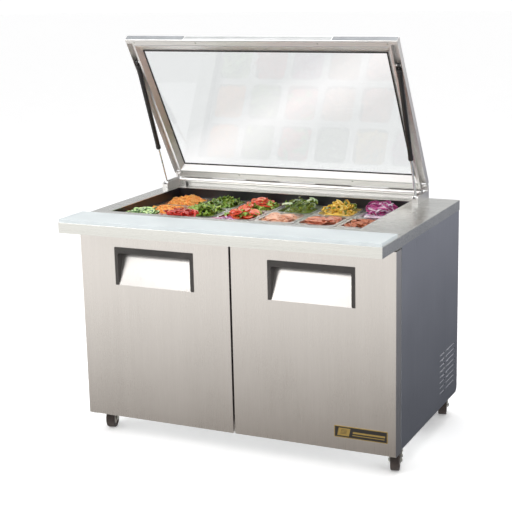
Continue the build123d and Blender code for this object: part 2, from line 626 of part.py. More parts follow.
def make_bracket(side, face):
    """Block at one end of the hinge, with the slot and the stud for the strut's foot."""
    def part(points, a, b):
        x0, x1 = sorted((face + side * a, face + side * b))
        return side_profile([(y, TOP + z) for y, z in points], x0, x1)

    rise = PIVOT_Z - TOP
    plate = [(BLOCK_FRONT, 0), (BLOCK_FRONT, 22), (739, 27.4), (BLOCK_REAR, 31.2),
             (PIVOT_Y - 4.5, 31.2), (PIVOT_Y - 4.5, 0)]
    neck = [(PIVOT_Y - 4.5, 0), (PIVOT_Y - 4.5, rise), (PIVOT_Y + 5.5, rise), (HOOD_REAR, 28),
            (HOOD_REAR, 0)]
    cheek = [(BLOCK_FRONT, 0), (BLOCK_FRONT, 22), (739, 27.4), (825, 30), (BLOCK_REAR, 21), (BLOCK_REAR, 0)]
    saddle = [(BLOCK_FRONT, 0), (BLOCK_FRONT, SILL), (738, SILL), (739, SADDLE), (BLOCK_REAR, SADDLE),
              (BLOCK_REAR, 0)]
    flange = [(839, 0), (839, 23.5), (HOOD_FRONT - 0.2, 23.5), (HOOD_FRONT - 0.2, 0)]
    block_width = BRACKET_WIDTH
    bracket = part(plate, 0, BRACKET) + part(neck, 0, BRACKET)
    bracket += part(saddle, BRACKET - 1, block_width)
    bracket += part(cheek, block_width - 4, block_width)
    bracket += part(flange, block_width - 1, block_width + 26)
    k0, k1 = sorted((face, face + side * BRACKET))
    bracket += rod_x(k0, k1, PIVOT_Y, PIVOT_Z, KNUCKLE_R)
    s0, s1 = sorted((face + side * (BRACKET - 1), face + side * (STRUT_X - STRUT_EYE / 2 - 0.7)))
    bracket += rod_x(s0, s1, STRUT_FOOT_FROM_FRONT, TOP + STRUT_FOOT_RISE, 3)
    return bracket - rod_x(k0 - 1, k1 + 1, PIVOT_Y, PIVOT_Z, LID_PIN_R)


def make_hinge_rail():
    """Hood behind the well, end brackets, fixed knuckles and the long hinge pin."""
    rise = PIVOT_Z - TOP
    knuckles = []
    for k0, k1 in knuckle_spans(0):
        knuckle = block(k0, k1, NECK_Y, HOOD_REAR, TOP + HOOD_TOP, TOP + rise + 5)
        knuckle += block(k0, k1, PIVOT_Y, HOOD_REAR, TOP + rise - 5, TOP + rise + 5)
        knuckle += rod_x(k0, k1, PIVOT_Y, PIVOT_Z, KNUCKLE_R)
        knuckles.append(knuckle - rod_x(k0 - 1, k1 + 1, PIVOT_Y, PIVOT_Z, LID_PIN_R))
    brackets = [make_bracket(1, LID_LEFT), make_bracket(-1, LID_RIGHT)]
    pin = rod_x(LID_LEFT + 0.5, LID_RIGHT - 0.5, PIVOT_Y, PIVOT_Z, LID_PIN_R)
    return group(make_hood(), *knuckles, *brackets, pin)


# ---- gas struts ---------------------------------------------------------------------------------
HEAD_Y, HEAD_Z = lid_point(STRUT_HEAD_U, STRUT_HEAD_N)
STRUT_LENGTH = hypot(HEAD_Y - STRUT_FOOT_FROM_FRONT, HEAD_Z - TOP - STRUT_FOOT_RISE)
STRUT_STROKE = 81.0


def strut_plane(x):
    """Origin at the lid pivot, Z towards the foot pivot."""
    head = Vector(x, depth(HEAD_Y), HEAD_Z)
    foot = Vector(x, depth(STRUT_FOOT_FROM_FRONT), TOP + STRUT_FOOT_RISE)
    return Plane(origin=head, x_dir=(1, 0, 0), z_dir=foot - head)


def eye(at, radius, bore):
    ring = Pos(0, 0, at) * Rot(0, 90, 0) * Cylinder(radius, STRUT_EYE)
    return ring - Pos(0, 0, at) * Rot(0, 90, 0) * Cylinder(bore, STRUT_EYE + 2)


def make_strut_cylinder(x):
    tube = Pos(0, 0, (14 + STRUT_CYLINDER) / 2) * Cylinder(STRUT_CYLINDER_R, STRUT_CYLINDER - 14)
    neck = Pos(0, 0, 11) * Cylinder(5, 10)
    hollow_from = STRUT_LENGTH - 242 - STRUT_STROKE - 8
    bore = Pos(0, 0, (hollow_from + STRUT_CYLINDER) / 2 + 1)
    bore *= Cylinder(STRUT_ROD_R + RUNNING, STRUT_CYLINDER - hollow_from + 2)
    body = tube + neck - bore + eye(0, 8, STRUT_ROD_R + RUNNING)
    body -= Rot(0, 90, 0) * Cylinder(STRUT_ROD_R + RUNNING, STRUT_EYE + 2)
    return strut_plane(x).location * body


def make_strut_rod(x):
    start = STRUT_LENGTH - 242
    rod = Pos(0, 0, (start + STRUT_LENGTH - 6) / 2) * Cylinder(STRUT_ROD_R, STRUT_LENGTH - 6 - start)
    rod += eye(STRUT_LENGTH, 7, 3.2)
    rod -= Pos(0, 0, STRUT_LENGTH) * Rot(0, 90, 0) * Cylinder(3.2, STRUT_EYE + 2)
    return strut_plane(x).location * rod


def add_struts():
    for name, x in (("left", LID_LEFT + STRUT_X), ("right", LID_RIGHT - STRUT_X)):
        nodes["strut_cylinder_" + name] = make_strut_cylinder(x)
        nodes["strut_rod_" + name] = make_strut_rod(x)


# ---- castors ------------------------------------------------------------------------------------
LEG = 3.0
LEG_IN = WHEEL_WIDTH / 2 + 2.0
LEG_OUT = LEG_IN + LEG


def fork_profile(points, x0, x1):
    """Solid across the fork; points are (trail, height)."""
    section = Plane.YZ * make_face(Polyline(*[(-t, z) for t, z in points], close=True))
    return Pos(x0, 0, 0) * extrude(section, x1 - x0, dir=(1, 0, 0))


def across(x0, x1, trail, z, radius):
    return Pos((x0 + x1) / 2, -trail, z) * Rot(0, 90, 0) * Cylinder(radius, x1 - x0)


def make_castor_plate():
    """Mounting plate with raceway and headed swivel stem, about the swivel axis."""
    plate = Pos(0, 0, BASE_BOTTOM - 1.6) * Box(64, 64, 2.8)
    plate += Pos(0, 0, (FORK_TOP + 0.3 + BASE_BOTTOM - 1.6) / 2) * Cylinder(19, BASE_BOTTOM - 1.6 - FORK_TOP - 0.3)
    plate += Pos(0, 0, (BASE_BOTTOM - 2 + 83) / 2) * Cylinder(STEM_R, BASE_BOTTOM - 2 - 83)
    return plate + Pos(0, 0, 85.1) * Cylinder(9, 4.8)


def make_castor_fork():
    fork = Pos(0, -3, FORK_TOP - 2.25) * Box(2 * LEG_OUT, 40, 4.5)
    legs = [(-17, FORK_TOP), (23, FORK_TOP), (TRAIL + 9, WHEEL_R), (TRAIL - 9, WHEEL_R)]
    for x0, x1 in ((-LEG_OUT, -LEG_IN), (LEG_IN, LEG_OUT)):
        fork += fork_profile(legs, x0, x1)
        fork += across(x0, x1, TRAIL, WHEEL_R, 9)
    fork += across(-LEG_OUT - 4, LEG_OUT + 4, TRAIL, WHEEL_R, AXLE_R)
    for x0 in (-LEG_OUT - 3.5, LEG_OUT):
        hexagon = extrude(RegularPolygon(6.5, 6), 3.5)
        fork += Pos(x0, -TRAIL, WHEEL_R) * Rot(0, 90, 0) * hexagon
    return fork - Pos(0, 0, FORK_TOP - 2) * Cylinder(STEM_R + RUNNING, 12)


def make_castor_wheel():
    wheel = Pos(0, -TRAIL, WHEEL_R) * Rot(0, 90, 0) * Cylinder(WHEEL_R, WHEEL_WIDTH)
    wheel = fillet(wheel.edges().filter_by(GeomType.CIRCLE), 4)
    for x in (-WHEEL_WIDTH / 2, WHEEL_WIDTH / 2):
        recess = Pos(x, -TRAIL, WHEEL_R) * Rot(0, 90, 0)
        wheel -= recess * (Cylinder(26, 8) - Cylinder(10, 8))
    return wheel - across(-WHEEL_WIDTH, WHEEL_WIDTH, TRAIL, WHEEL_R, AXLE_R + RUNNING)


PEDAL_T = 8.0
PEDAL_Z = 66.0


def make_pedal_pin():
    return across(LEG_OUT - 1, LEG_OUT + 4.4, PEDAL_T, PEDAL_Z, 3)


def make_brake_pedal():
    """Side lever on the fork's pivot pin, with a foot tab at its free end."""
    x0 = LEG_OUT + 0.4
    lever = [(PEDAL_T - 5, PEDAL_Z + 6), (PEDAL_T + 8, PEDAL_Z + 6), (TRAIL + 20, 60), (TRAIL + 20, 52),
             (TRAIL + 2, 54), (PEDAL_T - 5, PEDAL_Z - 6)]
    pedal = fork_profile(lever, x0, x0 + 2.6)
    pedal += fork_profile([(TRAIL + 8, 62), (TRAIL + 20, 60), (TRAIL + 20, 57), (TRAIL + 8, 59)], x0, x0 + 6)
    return pedal - across(x0 - 1, x0 + 10, PEDAL_T, PEDAL_Z, 3 + RUNNING)


CASTORS = {
    "front_left": (-CASTOR_X, CASTOR_FRONT, CASTOR_TURN),
    "front_right": (CASTOR_X, CASTOR_FRONT, CASTOR_TURN),
    "rear_left": (-CASTOR_X, CASTOR_REAR, CASTOR_TURN + 180),
    "rear_right": (CASTOR_X, CASTOR_REAR, CASTOR_TURN + 180),
}


def add_castors():
    plate, fork, wheel = make_castor_plate(), make_castor_fork(), make_castor_wheel()
    plates = []
    for name, (x, y, turn) in CASTORS.items():
        place = Pos(x, depth(y), 0) * Rot(0, 0, turn)
        plates.append(Pos(x, depth(y), 0) * plate)
        braked = name.startswith("front")
        nodes["castor_fork_" + name] = place * ((fork + make_pedal_pin()) if braked else fork)
        nodes["castor_wheel_" + name] = place * wheel
        if braked:
            nodes["brake_pedal_" + name] = place * make_brake_pedal()
    nodes["castor_plates"] = group(*plates)


# ---- build and write ----------------------------------------------------------------------------
nodes["worktop"] = make_worktop()
nodes["cutting_board"] = make_board()
nodes["well_liner"] = make_well_liner()
nodes["pan_divider_bars"] = make_divider_bars()
add_pans()
nodes["cabinet_body"] = make_cabinet_body()
nodes["left_side_panel"] = mirrored(make_side_panel())
nodes["right_side_panel"] = make_right_side_panel()
nodes["rear_panel"] = make_rear_panel()
nodes["shelves"] = make_shelves()
nodes["condensing_unit"] = make_condensing_unit()
nodes["condenser_fan"] = Pos(FAN_X, depth(FAN_Y), FAN_Z) * make_fan(FAN_R, 20, 18, 24)
nodes["evaporator"] = make_evaporator()
nodes["evaporator_fan"] = Pos(EVAP_X - 2, depth(EVAP_Y), EVAP_Z) * make_fan(EVAP_FAN_R, 14, 14, 24)
add_doors()
nodes["lid_frame"] = make_lid_frame()
nodes["lid_glass"] = make_lid_glass()
nodes["lid_gasket"] = make_lid_gasket()
nodes["lid_hinge_rail"] = make_hinge_rail()
add_struts()
add_castors()

os.makedirs("parts", exist_ok=True)
for name, shape in nodes.items():
    export_step(shape, f"parts/{name}.step")
print(len(nodes), "nodes written")
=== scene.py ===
import json
import math
import random

import bmesh
import bpy
from mathutils import Matrix, Vector, noise


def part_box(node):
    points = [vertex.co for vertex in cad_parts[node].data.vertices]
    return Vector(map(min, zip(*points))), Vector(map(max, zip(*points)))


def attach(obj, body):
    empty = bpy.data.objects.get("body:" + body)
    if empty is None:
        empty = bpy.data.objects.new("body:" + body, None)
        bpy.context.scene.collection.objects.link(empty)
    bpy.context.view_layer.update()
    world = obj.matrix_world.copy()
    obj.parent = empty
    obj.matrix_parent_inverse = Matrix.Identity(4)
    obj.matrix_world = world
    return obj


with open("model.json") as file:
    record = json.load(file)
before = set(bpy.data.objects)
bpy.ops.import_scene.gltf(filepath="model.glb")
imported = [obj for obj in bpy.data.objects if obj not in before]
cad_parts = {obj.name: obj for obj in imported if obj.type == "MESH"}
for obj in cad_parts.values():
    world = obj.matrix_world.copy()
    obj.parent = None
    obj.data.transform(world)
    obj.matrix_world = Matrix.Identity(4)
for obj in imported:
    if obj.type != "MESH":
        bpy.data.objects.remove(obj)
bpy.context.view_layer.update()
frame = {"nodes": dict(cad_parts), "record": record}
nodes = frame["nodes"]

# ---- places in the shared frame, in metres --------------------------------------------------------
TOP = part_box("worktop")[1].z
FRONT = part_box("worktop")[0].y
LID_ANGLE = math.radians(58.3)
LID_LEFT, LID_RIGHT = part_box("lid_frame")[0].x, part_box("lid_frame")[1].x
LID_LENGTH = 0.673
LID_HINGE_LINE = Vector((0, FRONT + 0.843, TOP + 0.044))
CASTORS = {"front_left": (-0.575, 0.250, 14.5), "front_right": (0.575, 0.250, 14.5),
           "rear_left": (-0.575, 0.800, 194.5), "rear_right": (0.575, 0.800, 194.5)}


def at(x, from_front, z):
    """Point given by its distance behind the worktop's front edge."""
    return Vector((x, FRONT + from_front, z))


# lid's own plane: X as in the frame, Y from the front rail to the hinge, Z up from the underside
LID_PLACE = Matrix.Translation(LID_HINGE_LINE) @ Matrix.Rotation(-LID_ANGLE, 4, "X")


def srgb(r, g, b):
    """Linear colour from 0-255 display values."""
    def one(v):
        v /= 255
        return v / 12.92 if v <= 0.04045 else ((v + 0.055) / 1.055) ** 2.4
    return (one(r), one(g), one(b), 1.0)


# ---- materials ----------------------------------------------------------------------------------
class Paint:
    """A node material under construction; every pattern hangs on object coordinates."""

    def __init__(self, name, **constants):
        self.mat = bpy.data.materials.new(name)
        self.mat.use_nodes = True
        self.tree = self.mat.node_tree
        self.shader = self.tree.nodes["Principled BSDF"]
        for key, value in constants.items():
            self.shader.inputs[key.replace("_", " ")].default_value = value
        self.coords = self.tree.nodes.new("ShaderNodeTexCoord").outputs["Object"]

    def node(self, kind, **links):
        made = self.tree.nodes.new(kind)
        for key, value in links.items():
            self.set(made.inputs[key.replace("_", " ")], value)
        return made

    def set(self, socket, value):
        if isinstance(value, bpy.types.NodeSocket):
            self.tree.links.new(value, socket)
        else:
            socket.default_value = value

    def stretched(self, sx, sy, sz):
        made = self.node("ShaderNodeMapping", Vector=self.coords)
        made.inputs["Scale"].default_value = (sx, sy, sz)
        return made.outputs[0]

    def noise(self, scale, vector=None, detail=3.0, rough=0.55):
        made = self.node("ShaderNodeTexNoise", Vector=vector or self.coords, Scale=scale,
                         Detail=detail, Roughness=rough)
        return made.outputs["Fac"]

    def cells(self, scale, vector=None, feature="F1", output="Distance"):
        made = self.node("ShaderNodeTexVoronoi", Vector=vector or self.coords, Scale=scale)
        made.feature = feature
        return made.outputs[output]

    def remap(self, value, low, high, out_low=0.0, out_high=1.0):
        made = self.node("ShaderNodeMapRange", Value=value)
        for key, number in (("From Min", low), ("From Max", high), ("To Min", out_low), ("To Max", out_high)):
            made.inputs[key].default_value = number
        return made.outputs[0]

    def maths(self, kind, a, b=0.0):
        made = self.tree.nodes.new("ShaderNodeMath")
        made.operation = kind
        self.set(made.inputs[0], a)
        self.set(made.inputs[1], b)
        return made.outputs[0]

    def mix(self, factor, a, b):
        made = self.tree.nodes.new("ShaderNodeMix")
        made.data_type = "RGBA"
        self.set(made.inputs[0], factor)
        self.set(made.inputs[6], a)
        self.set(made.inputs[7], b)
        return made.outputs[2]

    def ramp(self, value, *stops):
        made = self.node("ShaderNodeValToRGB", Fac=value)
        points = made.color_ramp.elements
        while len(points) < len(stops):
            points.new(0.5)
        for point, (place, colour) in zip(points, stops):
            point.position = place
            point.color = colour
        return made.outputs["Color"]

    def split(self):
        return self.node("ShaderNodeSeparateXYZ", Vector=self.coords).outputs

    def edges(self, radius, low=0.75, high=0.985):
        """1 on edges sharper than the radius, 0 on flat faces."""
        bevel = self.tree.nodes.new("ShaderNodeBevel")
        bevel.samples = 4
        bevel.inputs["Radius"].default_value = radius
        normal = self.tree.nodes.new("ShaderNodeNewGeometry").outputs["Normal"]
        dot = self.tree.nodes.new("ShaderNodeVectorMath")
        dot.operation = "DOT_PRODUCT"
        self.set(dot.inputs[0], bevel.outputs[0])
        self.set(dot.inputs[1], normal)
        return self.remap(dot.outputs["Value"], low, high, 1.0, 0.0)

    def colour(self, value):
        self.set(self.shader.inputs["Base Color"], value)

    def rough(self, value):
        self.set(self.shader.inputs["Roughness"], value)

    def bump(self, height, strength, distance, over=None):
        made = self.node("ShaderNodeBump", Height=height)
        made.inputs["Strength"].default_value = strength
        made.inputs["Distance"].default_value = distance
        if over is not None:
            self.set(made.inputs["Normal"], over)
        self.set(self.shader.inputs["Normal"], made.outputs[0])
        return made.outputs[0]


def brushed(name, dark, light, grain, rough=(0.26, 0.38), bump=0.05, blotch=0.06, streaks=0.08, **more):
    """Brushed sheet: fine scratches along one axis, faint wide streaks and handling marks."""
    p = Paint(name, Metallic=1.0, **more)
    along = {"x": (7, 900, 900), "y": (900, 7, 900), "z": (900, 900, 7)}[grain]
    wide = {"x": (0.8, 46, 46), "y": (46, 0.8, 46), "z": (46, 46, 0.8)}[grain]
    fine = p.noise(1.0, p.stretched(*along), detail=4.0, rough=0.65)
    streak = p.noise(1.0, p.stretched(*wide), detail=3.0)
    marks = p.noise(5.5, detail=5.0, rough=0.6)
    tone = p.maths("ADD", p.remap(fine, 0.3, 0.7, -0.16, 0.16),
                   p.remap(streak, 0.3, 0.7, 0.5 - streaks, 0.5 + streaks))
    tone = p.maths("ADD", tone, p.remap(marks, 0.3, 0.7, -blotch, blotch))
    p.colour(p.ramp(tone, (0.2, dark), (0.8, light)))
    haze = p.maths("ADD", p.remap(marks, 0.35, 0.75, 0.0, 0.05), p.remap(fine, 0.3, 0.7, *rough))
    p.rough(haze)
    p.bump(fine, bump, 0.0004)
    return p.mat


def moulded(name, dark, light, rough=(0.4, 0.55), grain=900.0, bump=0.12, edge_wear_and_highlight=0.0, **more):
    """Moulded or coated surface: fine texture, faint colour drift, lighter edges that are part rubbed wear
    and part painted edge highlight.
    """
    p = Paint(name, **more)
    fine = p.noise(grain, detail=2.0)
    drift = p.noise(14.0, detail=4.0)
    tint = p.ramp(drift, (0.3, dark), (0.7, light))
    # lighter sharp edges: partly rubbed wear, partly a painted edge highlight
    if edge_wear_and_highlight:
        rubbed_and_highlit_edge_colour = tuple(min(1.0, c * (1 + edge_wear_and_highlight) + 0.02 * edge_wear_and_highlight) for c in light[:3]) + (1.0,)
        tint = p.mix(p.edges(0.0012), tint, rubbed_and_highlit_edge_colour)
    p.colour(tint)
    p.rough(p.remap(p.maths("ADD", p.maths("MULTIPLY", fine, 0.5), p.maths("MULTIPLY", drift, 0.5)),
                    0.35, 0.65, *rough))
    p.bump(fine, bump, 0.0003)
    return p.mat


def board_plastic():
    """Polyethylene board with a fine knife-scratched, slightly cloudy top."""
    p = Paint("board_polyethylene", Subsurface_Weight=0.12, Subsurface_Scale=0.004,
              Subsurface_Radius=(1.0, 1.0, 1.0), Specular_IOR_Level=0.45)
    cuts = p.cells(1.0, p.stretched(36, 150, 150), feature="DISTANCE_TO_EDGE")
    scratch = p.remap(cuts, 0.0, 0.035, 1.0, 0.0)
    cloud = p.noise(9.0, detail=5.0)
    grain = p.noise(1600.0, detail=2.0)
    base = p.ramp(cloud, (0.3, srgb(190, 197, 199)), (0.7, srgb(202, 208, 209)))
    p.colour(p.mix(p.maths("MULTIPLY", scratch, 0.16), base, srgb(168, 174, 176)))
    p.rough(p.remap(cloud, 0.35, 0.65, 0.34, 0.46))
    height = p.maths("SUBTRACT", p.maths("MULTIPLY", grain, 0.35), p.maths("MULTIPLY", scratch, 0.5))
    p.bump(height, 0.12, 0.0003)
    return p.mat


def clear_glass():
    """Lid pane: clear, a little grey, with a soft painted diagonal reflection band in its colour and faint
    wiping smears in its roughness.
    """
    p = Paint("lid_pane_glass", Roughness=0.03, IOR=1.46, Transmission_Weight=1.0, Specular_IOR_Level=0.06)
    x, y, z = p.split()[:3]
    # painted reflection: the base colour turns whiter along a soft diagonal band
    diagonal = p.maths("SUBTRACT", p.maths("MULTIPLY", z, 2.066), p.maths("MULTIPLY", x, 1.012))
    wobble = p.remap(p.noise(2.2, detail=2.0), 0.3, 0.7, -0.03, 0.03)
    diagonal = p.maths("ADD", diagonal, wobble)
    rise = p.remap(diagonal, 2.18, 2.45, 0.0, 1.0)
    fall = p.remap(diagonal, 2.50, 2.72, 1.0, 0.0)
    painted_reflection_band = p.maths("MULTIPLY", rise, fall)
    p.colour(p.mix(painted_reflection_band, srgb(232, 234, 234), srgb(254, 254, 254)))
    smear = p.noise(1.0, p.stretched(4, 60, 60), detail=3.0)
    p.rough(p.remap(smear, 0.4, 0.7, 0.0, 0.035))
    return p.mat


def fins():
    p = Paint("coil_fins", Metallic=1.0)
    x, y, z = p.split()[:3]
    wave = p.maths("FRACT", p.maths("MULTIPLY", y, 420.0))
    blade_vs_painted_gap_shade = p.remap(wave, 0.0, 0.35, 0.0, 1.0)
    # the dark stripes are painted shade in the gaps between the fin blades
    p.colour(p.mix(blade_vs_painted_gap_shade, srgb(70, 72, 74), srgb(196, 199, 202)))
    p.rough(p.remap(p.noise(300.0), 0.3, 0.7, 0.3, 0.5))
    p.bump(blade_vs_painted_gap_shade, 0.6, 0.0006)
    return p.mat


def badge_face():
    """Dark plate, gold border, gold block with stripes and two plain gold bars."""
    p = Paint("badge_plate", Specular_IOR_Level=0.6, Coat_Weight=0.35)
    low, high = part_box("badge")
    x, y, z = p.split()[:3]
    u = p.remap(x, low.x, high.x)
    v = p.remap(z, low.z, high.z)

    def inside(value, a, b, soft):
        up = p.remap(value, a - soft, a + soft)
        down = p.remap(value, b - soft, b + soft, 1.0, 0.0)
        return p.maths("MULTIPLY", up, down)

    field = p.maths("MULTIPLY", inside(u, 0.012, 0.988, 0.003), inside(v, 0.055, 0.945, 0.014))
    border = p.maths("SUBTRACT", 1.0, field)
    lean = p.maths("SUBTRACT", u, p.maths("MULTIPLY", v, 0.045))
    block = p.maths("MULTIPLY", inside(lean, 0.05, 0.27, 0.003), inside(v, 0.17, 0.83, 0.02))
    stripe = p.maths("FRACT", p.maths("MULTIPLY", v, 9.0))
    cut = p.maths("MULTIPLY", inside(lean, 0.10, 0.22, 0.003), inside(stripe, 0.05, 0.4, 0.06))
    block = p.maths("SUBTRACT", block, p.maths("MULTIPLY", cut, inside(v, 0.3, 0.72, 0.02)))
    bars = p.maths("MULTIPLY", inside(lean, 0.33, 0.93, 0.003), inside(v, 0.46, 0.60, 0.02))
    thin = p.maths("MULTIPLY", inside(lean, 0.33, 0.93, 0.003), inside(v, 0.27, 0.33, 0.014))
    marks = p.maths("MAXIMUM", p.maths("MAXIMUM", block, bars), p.maths("MAXIMUM", thin, border))
    grain = p.noise(700.0, detail=2.0)
    gold = p.mix(grain, srgb(168, 138, 72), srgb(214, 186, 112))
    black = p.mix(grain, srgb(22, 20, 18), srgb(34, 31, 28))
    p.colour(p.mix(marks, black, gold))
    p.set(p.shader.inputs["Metallic"], p.maths("MULTIPLY", marks, 0.85))
    p.rough(p.remap(grain, 0.3, 0.7, 0.25, 0.4))
    p.bump(p.maths("ADD", marks, p.maths("MULTIPLY", grain, 0.1)), 0.4, 0.0003)
    return p.mat


STEEL_TOP = brushed("steel_worktop", srgb(198, 199, 195), srgb(226, 226, 222), "x", (0.2, 0.3))
STEEL_DOOR = brushed("steel_doors", srgb(204, 200, 196), srgb(222, 218, 214), "z",
                     (0.24, 0.31), 0.02, 0.05, 0.05)
# side panels: the same brushed steel as the doors, made darker and bluer as painted shade on the sides
STEEL_SIDE_PAINTED_SHADE = brushed("steel_sides", srgb(178, 180, 186), srgb(198, 200, 206), "z",
                     (0.26, 0.34), 0.03, 0.05, 0.05)
STEEL_BACK = brushed("steel_rear", srgb(176, 178, 178), srgb(208, 210, 210), "x", (0.36, 0.48))
STEEL_PAN = brushed("steel_pans", srgb(188, 188, 186), srgb(226, 226, 222), "x", (0.22, 0.36))
ALUMINIUM = brushed("lid_satin_aluminium", srgb(206, 204, 202), srgb(238, 236, 233), "x", (0.3, 0.42), 0.01)
ZINC = brushed("zinc_plate", srgb(166, 166, 160), srgb(214, 214, 206), "z", (0.28, 0.46), 0.08)
CHROME = brushed("polished_rod", srgb(206, 208, 210), srgb(236, 238, 240), "z", (0.05, 0.12), 0.01)
BRIGHT = brushed("bright_tab", srgb(226, 224, 216), srgb(250, 248, 242), "z", (0.12, 0.22), 0.02)
LINER = moulded("liner_black_abs", srgb(22, 21, 24), srgb(34, 33, 36), (0.3, 0.42), 500.0, 0.2, 0.6)
FOAM_WALL = moulded("liner_white", srgb(226, 228, 228), srgb(238, 239, 239), (0.3, 0.42), 300.0, 0.05)
COATED = moulded("wire_coating", srgb(220, 222, 224), srgb(238, 240, 240), (0.3, 0.4), 300.0, 0.06)
PAINTED = moulded("machine_paint", srgb(30, 30, 33), srgb(46, 46, 50), (0.35, 0.5), 500.0, 0.15, 0.8)
PLASTIC = moulded("fan_plastic", srgb(40, 40, 43), srgb(54, 54, 57), (0.4, 0.52), 700.0, 0.1, 0.5)
HANDLE = moulded("handle_moulding", srgb(46, 43, 41), srgb(62, 58, 55), (0.38, 0.5), 1100.0, 0.18, 0.9)
SEAL = moulded("door_seal", srgb(88, 88, 92), srgb(108, 108, 112), (0.55, 0.7), 600.0, 0.1)
LID_SEAL = moulded("lid_seal", srgb(38, 36, 34), srgb(54, 52, 50), (0.5, 0.65), 600.0, 0.1)
STRUT = moulded("strut_paint", srgb(18, 16, 16), srgb(32, 29, 28), (0.25, 0.38), 700.0, 0.08, 0.9)
TREAD = moulded("wheel_tread", srgb(40, 31, 27), srgb(60, 48, 42), (0.5, 0.7), 700.0, 0.25, 0.4)
NYLON = moulded("wheel_core", srgb(120, 112, 104), srgb(148, 140, 130), (0.35, 0.5), 500.0, 0.08)
GRIP = moulded("rail_grip", srgb(176, 178, 178), srgb(196, 198, 198), (0.4, 0.5), 500.0, 0.06)
RAIL_END = moulded("rail_end_cap", srgb(122, 125, 128), srgb(146, 149, 152), (0.4, 0.52), 700.0, 0.1, 0.3)
BOARD = board_plastic()
GLASS = clear_glass()
FINS = fins()
BADGE = badge_face()

LOOKS = {"sheet_steel": STEEL_TOP, "door_steel": STEEL_DOOR, "pan_steel": STEEL_PAN, "board": BOARD,
         "liner_black": LINER, "foam_wall": FOAM_WALL, "shelf_coat": COATED, "machine_black": PAINTED,
         "fin_aluminium": FINS, "fan_plastic": PLASTIC, "door_foam": FOAM_WALL, "handle_grey": HANDLE,
         "seal_grey": SEAL, "badge_black": BADGE, "lid_aluminium": ALUMINIUM, "lid_seal": LID_SEAL,
         "strut_black": STRUT, "rod_chrome": CHROME, "zinc": ZINC, "tread": TREAD, "lid_glass": GLASS}
OWN_LOOKS = {"brake_pedal_front_left": BRIGHT, "brake_pedal_front_right": BRIGHT,
             "left_side_panel": STEEL_SIDE_PAINTED_SHADE, "right_side_panel": STEEL_SIDE_PAINTED_SHADE, "rear_panel": STEEL_BACK}
for part in frame["record"]["subparts"]:
    material = OWN_LOOKS.get(part["node"], LOOKS[part["material_slot"]])
    mesh = nodes[part["node"]].data
    mesh.materials.clear()
    mesh.materials.append(material)


# ---- shapes -------------------------------------------------------------------------------------
class Shape:
    """Mesh made of closed skins, in metres."""

    def __init__(self):
        self.bm = bmesh.new()
        self.slot = 0

    def skin(self, rings, loop=False):
        """Join rings of equal size into a closed surface; the ends are capped unless it loops."""
        made = [[self.bm.verts.new(v) for v in ring] for ring in rings]
        count = len(made[0])
        pairs = list(zip(made, made[1:] + made[:1])) if loop else list(zip(made, made[1:]))
        for a, b in pairs:
            for k in range(count):
                self.face((a[k], a[(k + 1) % count], b[(k + 1) % count], b[k]))
        if not loop:
            self.face(made[0][::-1])
            self.face(made[-1])

    def face(self, corners):
        made = self.bm.faces.new(corners)
        made.material_index = self.slot
        made.smooth = True

    def block(self, x, y, z, place=Matrix()):
        corners = [(x[0], y[0]), (x[1], y[0]), (x[1], y[1]), (x[0], y[1])]
        self.skin([[place @ Vector((a, b, h)) for a, b in corners] for h in z])

    def lathe(self, profile, place=Matrix(), sides=20):
        """Turned solid; profile is (radius, height) from one end to the other."""
        turns = [math.tau * k / sides for k in range(sides)]
        self.skin([[place @ Vector((r * math.cos(a), r * math.sin(a), h)) for a in turns]
                   for r, h in profile])

    def tube(self, points, radius, sides=10):
        rings = []
        for k, point in enumerate(points):
            ahead = (points[min(k + 1, len(points) - 1)] - points[max(k - 1, 0)]).normalized()
            across = ahead.cross(Vector((0.31, 0.17, 0.94))).normalized()
            other = ahead.cross(across)
            rings.append([point + radius * (math.cos(a) * across + math.sin(a) * other)
                          for a in (math.tau * j / sides for j in range(sides))])
        self.skin(rings)

    def finish(self, name, materials, body, sharp=35, bevel=0.0):
        bmesh.ops.recalc_face_normals(self.bm, faces=self.bm.faces)
        if bevel:
            hard = [e for e in self.bm.edges if e.calc_face_angle(0) > math.radians(sharp)]
            bmesh.ops.bevel(self.bm, geom=hard, offset=bevel, segments=2, affect="EDGES")
        mesh = bpy.data.meshes.new(name)
        self.bm.to_mesh(mesh)
        self.bm.free()
        mesh.set_sharp_from_angle(angle=math.radians(sharp))
        for material in materials:
            mesh.materials.append(material)
        made = bpy.data.objects.new(name, mesh)
        bpy.context.scene.collection.objects.link(made)
        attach(made, body)
        return made


def lid_at(x, u, n):
    """Point on the lid: along the hinge, away from it, and up from the underside."""
    return LID_PLACE @ Vector((x, -u, n))


def facing(place, normal):
    """Placement with Z along the normal."""
    return Matrix.Translation(place) @ Vector(normal).to_track_quat("Z", "Y").to_matrix().to_4x4()


def screw(shape, place, normal, radius=0.0035, height=0.0016):
    """Low domed head with a washer face, sunk a little into its seat."""
    where = facing(place, normal)
    shape.lathe([(radius * 1.25, -0.0006), (radius * 1.25, 0.0004), (radius, 0.0005),
                 (radius * 0.92, height * 0.7), (radius * 0.55, height), (radius * 0.3, height * 1.02),
                 (radius * 0.25, height * 0.55), (radius * 0.05, height * 0.5)], where, 16)


# ---- food in the pans -----------------------------------------------------------------------------
PAN_HALF = (0.0665, 0.0735)
PAN_CORNER = 0.018
FOOD_TOP = 0.042


